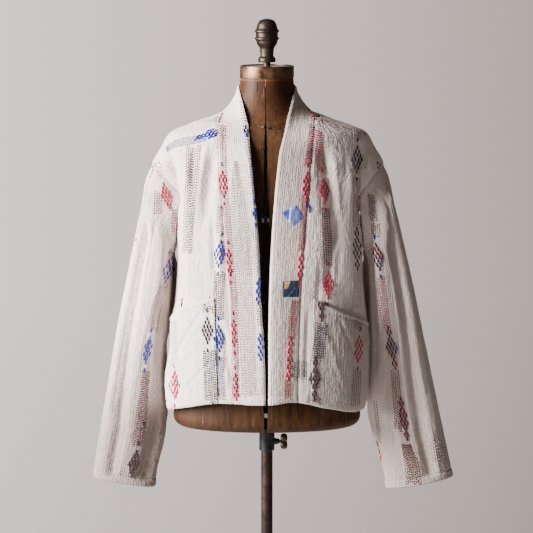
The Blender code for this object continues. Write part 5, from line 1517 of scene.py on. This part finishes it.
def form_half(side, name, material):
    turns = np.linspace(0, math.pi, FORM_COLUMNS + 1)
    s = np.sin(turns) ** (2 / FORM_ROUNDNESS)
    c = signed_power(np.cos(turns), 2 / FORM_ROUNDNESS)
    rows = []
    for height, width, front, back, slot in form_rows():
        start = SLOT_X + side * slot
        x = start + (side * width - start) * s
        rows.append(np.column_stack([x, -np.where(c > 0, front, back) * c, np.full_like(x, height)]))
    half = Cloth(np.array(rows), side, 1)
    half.relief = np.zeros_like(half.relief)
    half.normal[:, (0, -1), 0] = 0.0
    half.normal[-1, :, 2] = 0.0
    half.normal[:3] = (0.0, 0.0, -1.0)
    half.normal = unit(half.normal)
    return shell(name, half, material, FORM_WALL)


# Turned metal

def turned(name, profile, material, closed=False, sharp=35):
    """A piece of revolution about the pole's axis, from (radius, height) points down its outer side."""
    points = []
    rings = []
    for radius, height in profile:
        start = len(points)
        count = TURNED_STEPS if radius > 1e-9 else 1
        for k in range(count):
            turn = 2 * math.pi * k / count
            points.append((radius * math.cos(turn), radius * math.sin(turn), height))
        rings.append([start + k % count for k in range(TURNED_STEPS + 1)])
    faces = []
    for upper, lower in zip(rings, rings[1:] + (rings[:1] if closed else [])):
        for k in range(TURNED_STEPS):
            face = dict.fromkeys((upper[k], upper[k + 1], lower[k + 1], lower[k]))
            if len(face) > 2:
                faces.append(tuple(face))
    return mesh_piece(name, points, faces, material, sharp=sharp)


def rounded_rod(radius, start, end, edge):
    """Profile of a solid rod with rounded ends, as (radius, place along it)."""
    arc = np.linspace(0, math.pi / 2, 6)
    first = [(radius - edge + edge * math.sin(turn), start + edge * (1 - math.cos(turn))) for turn in arc]
    last = [(radius - edge + edge * math.cos(turn), end - edge * (1 - math.sin(turn))) for turn in arc]
    return [(0.0, start)] + first + last + [(0.0, end)]


def lay_on_side(piece, height):
    """Turn a piece made about the vertical so that it points to +X at a height."""
    for vertex in piece.data.vertices:
        x, y, z = vertex.co
        vertex.co = (z, y, height - x)
    return piece


def join(pieces, name):
    """Join pieces into the first one."""
    bpy.ops.object.select_all(action="DESELECT")
    for piece in pieces:
        piece.select_set(True)
    bpy.context.view_layer.objects.active = pieces[0]
    bpy.ops.object.join()
    pieces[0].name = name
    return pieces[0]


def stand_pieces(bronze, iron):
    foot = [(0.0, SOCKET_FLOOR), (COLLAR_BORE, SOCKET_FLOOR), (COLLAR_BORE, BASE_PROFILE[0][1])]
    curve = [tuple(row) for row in read_along(BASE_PROFILE, np.linspace(0, 1, 60))]
    edge = [(0.1700, 0.0012), (0.1688, 0.0), (0.0, 0.0)]
    base = turned("base_casting", foot + curve + edge, iron)
    pole = turned("pole_tube", rounded_rod(POLE_RADIUS, SOCKET_FLOOR + 0.0003, POLE_TOP, 0.001), bronze)
    return base, pole


def collar_pieces(black, brown):
    top = FORM_FLOOR - 0.0003
    under = top - FLANGE_THICKNESS
    edge = 0.0006
    arc = np.linspace(0, math.pi / 2, 7)
    fillet = [(COLLAR_RADIUS + 0.004 * (1 - math.sin(turn)), under - 0.004 * (1 - math.cos(turn)))
              for turn in arc]
    tube = [(COLLAR_BORE, top), (FLANGE_RADIUS - edge, top), (FLANGE_RADIUS, top - edge),
            (FLANGE_RADIUS, under + edge), (FLANGE_RADIUS - edge, under), *fillet,
            (COLLAR_RADIUS, COLLAR_LOW + 0.0015), (COLLAR_RADIUS - 0.0012, COLLAR_LOW + 0.0004),
            (COLLAR_RADIUS - 0.0016, COLLAR_LOW), (COLLAR_BORE, COLLAR_LOW)]
    body = turned("collar_body", tube, black, closed=True)
    boss = lay_on_side(turned("boss", BOSS_PROFILE, black), SCREW_HEIGHT)
    collar = join([body, boss], "collar_body")
    stem = turned("thumbscrew_body", rounded_rod(0.0030, 0.0127, 0.0330, 0.0006), brown)
    lay_on_side(stem, SCREW_HEIGHT)
    wings = []
    for lift in (-0.0075, 0.0075):
        wing = turned("wing", rounded_rod(0.0092, 0.0285, 0.0430, 0.0060), brown)
        wings.append(lay_on_side(wing, SCREW_HEIGHT + lift))
    return collar, join([stem, *wings], "thumbscrew_body")


def cap_pieces(copper, bronze):
    plate = CAP_TOP - CAP_RECESS
    bore = CAP_RADIUS - CAP_RIM
    rounded = [(CAP_EASE * (1 - math.sin(turn)), CAP_EASE * (1 - math.cos(turn)))
               for turn in np.linspace(0, math.pi / 2, 5)]
    upper = [(CAP_RADIUS - inward, CAP_TOP - down) for inward, down in rounded]
    lower = [(CAP_RADIUS - inward, CAP_LOW + up) for up, inward in rounded]
    profile = [(0.0, plate), (bore - 0.0008, plate), (bore, plate + 0.0006), (bore, CAP_TOP - 0.0004),
               (bore + 0.0004, CAP_TOP), *upper, *lower, (0.0, CAP_LOW)]
    cap = turned("cap_plate", profile, copper)
    curve = [tuple(row) for row in read_along(FINIAL, np.linspace(0, 1, 150))]
    stem = [(FINIAL_STEM, FINIAL[-1][1]), (FINIAL_STEM, plate + 0.0003), (0.0, plate + 0.0003)]
    return cap, turned("finial_turning", curve + stem, bronze)


# The room

def soft_light(name, place, aim, size, power, colour=(1.0, 1.0, 1.0)):
    data = bpy.data.lights.new(name, "AREA")
    data.shape = "RECTANGLE"
    data.size, data.size_y = size
    data.energy = power
    data.color = colour
    put_in_scene(name, data, place, aim)


def make_room():
    """A pale wall that only the camera sees, a plain floor, a large soft light on the left, little else."""
    world = bpy.data.worlds.new("room")
    bpy.context.scene.world = world
    world.use_nodes = True
    tree = world.node_tree
    tree.nodes.clear()
    looking = add_node(tree, "ShaderNodeTexCoord").outputs["Generated"]
    direction = add_node(tree, "ShaderNodeSeparateXYZ", {0: looking}).outputs
    # Painted light falloff: the wall's colour runs from lighter on the left to darker on the right
    inputs = {"Value": direction[0], "From Min": -0.11, "From Max": 0.11}
    to_right = add_node(tree, "ShaderNodeMapRange", inputs, clamp=True).outputs[0]
    # Painted shade: the wall grows darker lower down
    inputs = {"Value": direction[2], "From Min": -0.15, "From Max": -0.26, "To Min": 1.0, "To Max": 0.84}
    strength = add_node(tree, "ShaderNodeMapRange", inputs, clamp=True).outputs[0]
    inputs = {0: to_right, 6: (*WALL_LEFT, 1.0), 7: (*WALL_RIGHT, 1.0)}
    wall = add_node(tree, "ShaderNodeMix", inputs, data_type="RGBA").outputs[2]
    seen = add_node(tree, "ShaderNodeBackground", {"Color": wall, "Strength": strength})
    unseen = add_node(tree, "ShaderNodeBackground", {"Color": (*FILL_COLOUR, 1.0), "Strength": FILL_STRENGTH})
    to_camera = add_node(tree, "ShaderNodeLightPath").outputs["Is Camera Ray"]
    blend = add_node(tree, "ShaderNodeMixShader", {0: to_camera, 1: unseen.outputs[0], 2: seen.outputs[0]})
    add_node(tree, "ShaderNodeOutputWorld", {"Surface": blend.outputs[0]})

    g = Graph("pale_floor", 0.8, specular=0.2)
    g.finish(g.mix(g.noise(3.0), (0.52, 0.50, 0.48), (0.56, 0.54, 0.52)))
    disc = [(0.0, -0.0005), (FLOOR_RADIUS, -0.0005), (FLOOR_RADIUS, -0.01), (0.0, -0.01)]
    turned("floor", disc, g.material)
    soft_light("window", (-2.64, -1.08, 1.85), (0.0, 0.0, 1.05), (1.7, 1.8), KEY_POWER, (1.0, 0.970, 0.945))
    soft_light("far_wall", (2.4, -2.0, 1.4), (0.0, 0.0, 1.0), (2.0, 2.0), SIDE_POWER, (1.0, 0.92, 0.87))
    soft_light("behind", (-0.6, 2.8, 2.2), (0.0, 0.0, 1.1), (2.4, 1.6), BACK_POWER)


# Putting it together

def belongs(piece, body, node):
    """Say which body carries a piece, and hide the solid that it stands for."""
    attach(piece, body)
    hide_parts(node)


def make_cloths():
    """The panels' cloths by side: fronts, sleeves and pockets, then the back and the neckband."""
    fronts = {side: Cloth(front_grid(side), side, 20 + side) for side in SIDES}
    back = Cloth(back_grid(), -1, 40)
    left, right = (half_band(side, fronts[side].grid, back.grid) for side in SIDES)
    band = Cloth(np.vstack([right, left[-2::-1]]), -1, 60)
    sleeves = {side: Cloth(sleeve_grid(side), side, 80 + side, closed=True) for side in SIDES}
    for panel in (*fronts.values(), back):
        for which in (1, 2, 3):
            panel.seam(which)
        panel.hem(0)
    band.seam(2, 0.0019, 0.0026)
    band.fold(3)
    band.hem(0)
    band.hem(1)
    for sleeve in sleeves.values():
        sleeve.seam(0)
        sleeve.hem(1)
    pockets = {side: pocket_cloth(side, fronts[side], 100 + side) for side in SIDES}
    return fronts, sleeves, pockets, back, band


def dress():
    light, shade = (0.862, 0.762, 0.724), (0.802, 0.690, 0.640)
    white = cotton("cream_cotton", light, shade)
    sleeve_white = {side: cotton(f"cream_cotton_{word}_sleeve", light, shade, PAINTED_SHADE_SLEEVES[side])
                    for side, word in SIDES.items()}
    band_white = cotton("cream_cotton_band", (0.845, 0.760, 0.720), (0.780, 0.680, 0.630), PAINTED_SHADE_BAND)
    pocket_white = cotton("cream_cotton_pocket", (0.850, 0.790, 0.765), (0.790, 0.720, 0.690), PAINTED_SHADE_POCKETS)
    wood = aged_wood()
    metal = {name: worn_metal(name, *values) for name, values in METALS.items()}

    fronts, sleeves, pockets, back, band = make_cloths()
    panels = []
    for side, word in SIDES.items():
        panels += [("front_cloth_" + word, "front_" + word, fronts[side], white, "cotton", CLOTH),
                   ("sleeve_cloth_" + word, "sleeve_" + word, sleeves[side], sleeve_white[side], "cotton",
                    CLOTH),
                   ("pocket_cloth_" + word, "pocket_" + word, pockets[side], pocket_white, "pocket_cotton",
                    CLOTH)]
    panels += [("back_cloth", "back_panel", back, white, "cotton", CLOTH),
               ("band_cloth", "neckband", band, band_white, "band_cotton", BAND_CLOTH)]
    made = []
    for name, node, cloth, material, slot, thickness in panels:
        piece = shell(name, cloth, material, thickness)
        belongs(piece, "form", node)
        made.append(piece)

    for side, word in SIDES.items():
        belongs(form_half(side, "form_shell_" + word, wood), "form", "form_half_" + word)
    base, pole = stand_pieces(metal["rusty_pole"], metal["dark_iron"])
    collar, screw = collar_pieces(metal["black_steel"], metal["screw_bronze"])
    cap, finial = cap_pieces(metal["worn_copper"], metal["dark_bronze"])
    belongs(base, "stand", "stand_base")
    belongs(pole, "stand", "stand_pole")
    belongs(collar, "collar", "clamp_collar")
    belongs(screw, "clamp_screw", "thumbscrew")
    belongs(cap, "form", "neck_cap")
    belongs(finial, "form", "finial")
    for node, name in KEPT_SOLIDS.items():
        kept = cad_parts[node]
        kept.data.materials.clear()
        kept.data.materials.append(metal[name])

    front_caster, back_caster = (Caster(made, face) for face in (1, -1))
    blue, navy = patch_cloths()
    for name, corners, material, node, slot in (
            ("patch_diamond_cloth", PATCH_DIAMOND, blue, "patch_diamond", "blue_patch"),
            ("patch_square_cloth", PATCH_SQUARE, navy, "patch_square", "navy_patch")):
        piece, flat, area = patch_piece(name, corners, material, front_caster)
        belongs(piece, "form", node)
    for piece in sew_colours(front_caster, back_caster):
        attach(piece, "form")
    for piece, panel in zip(made, panels):
        cloth = panel[2]
        cloth.flat()
        cloth.area()


make_camera()
make_room()
dress()
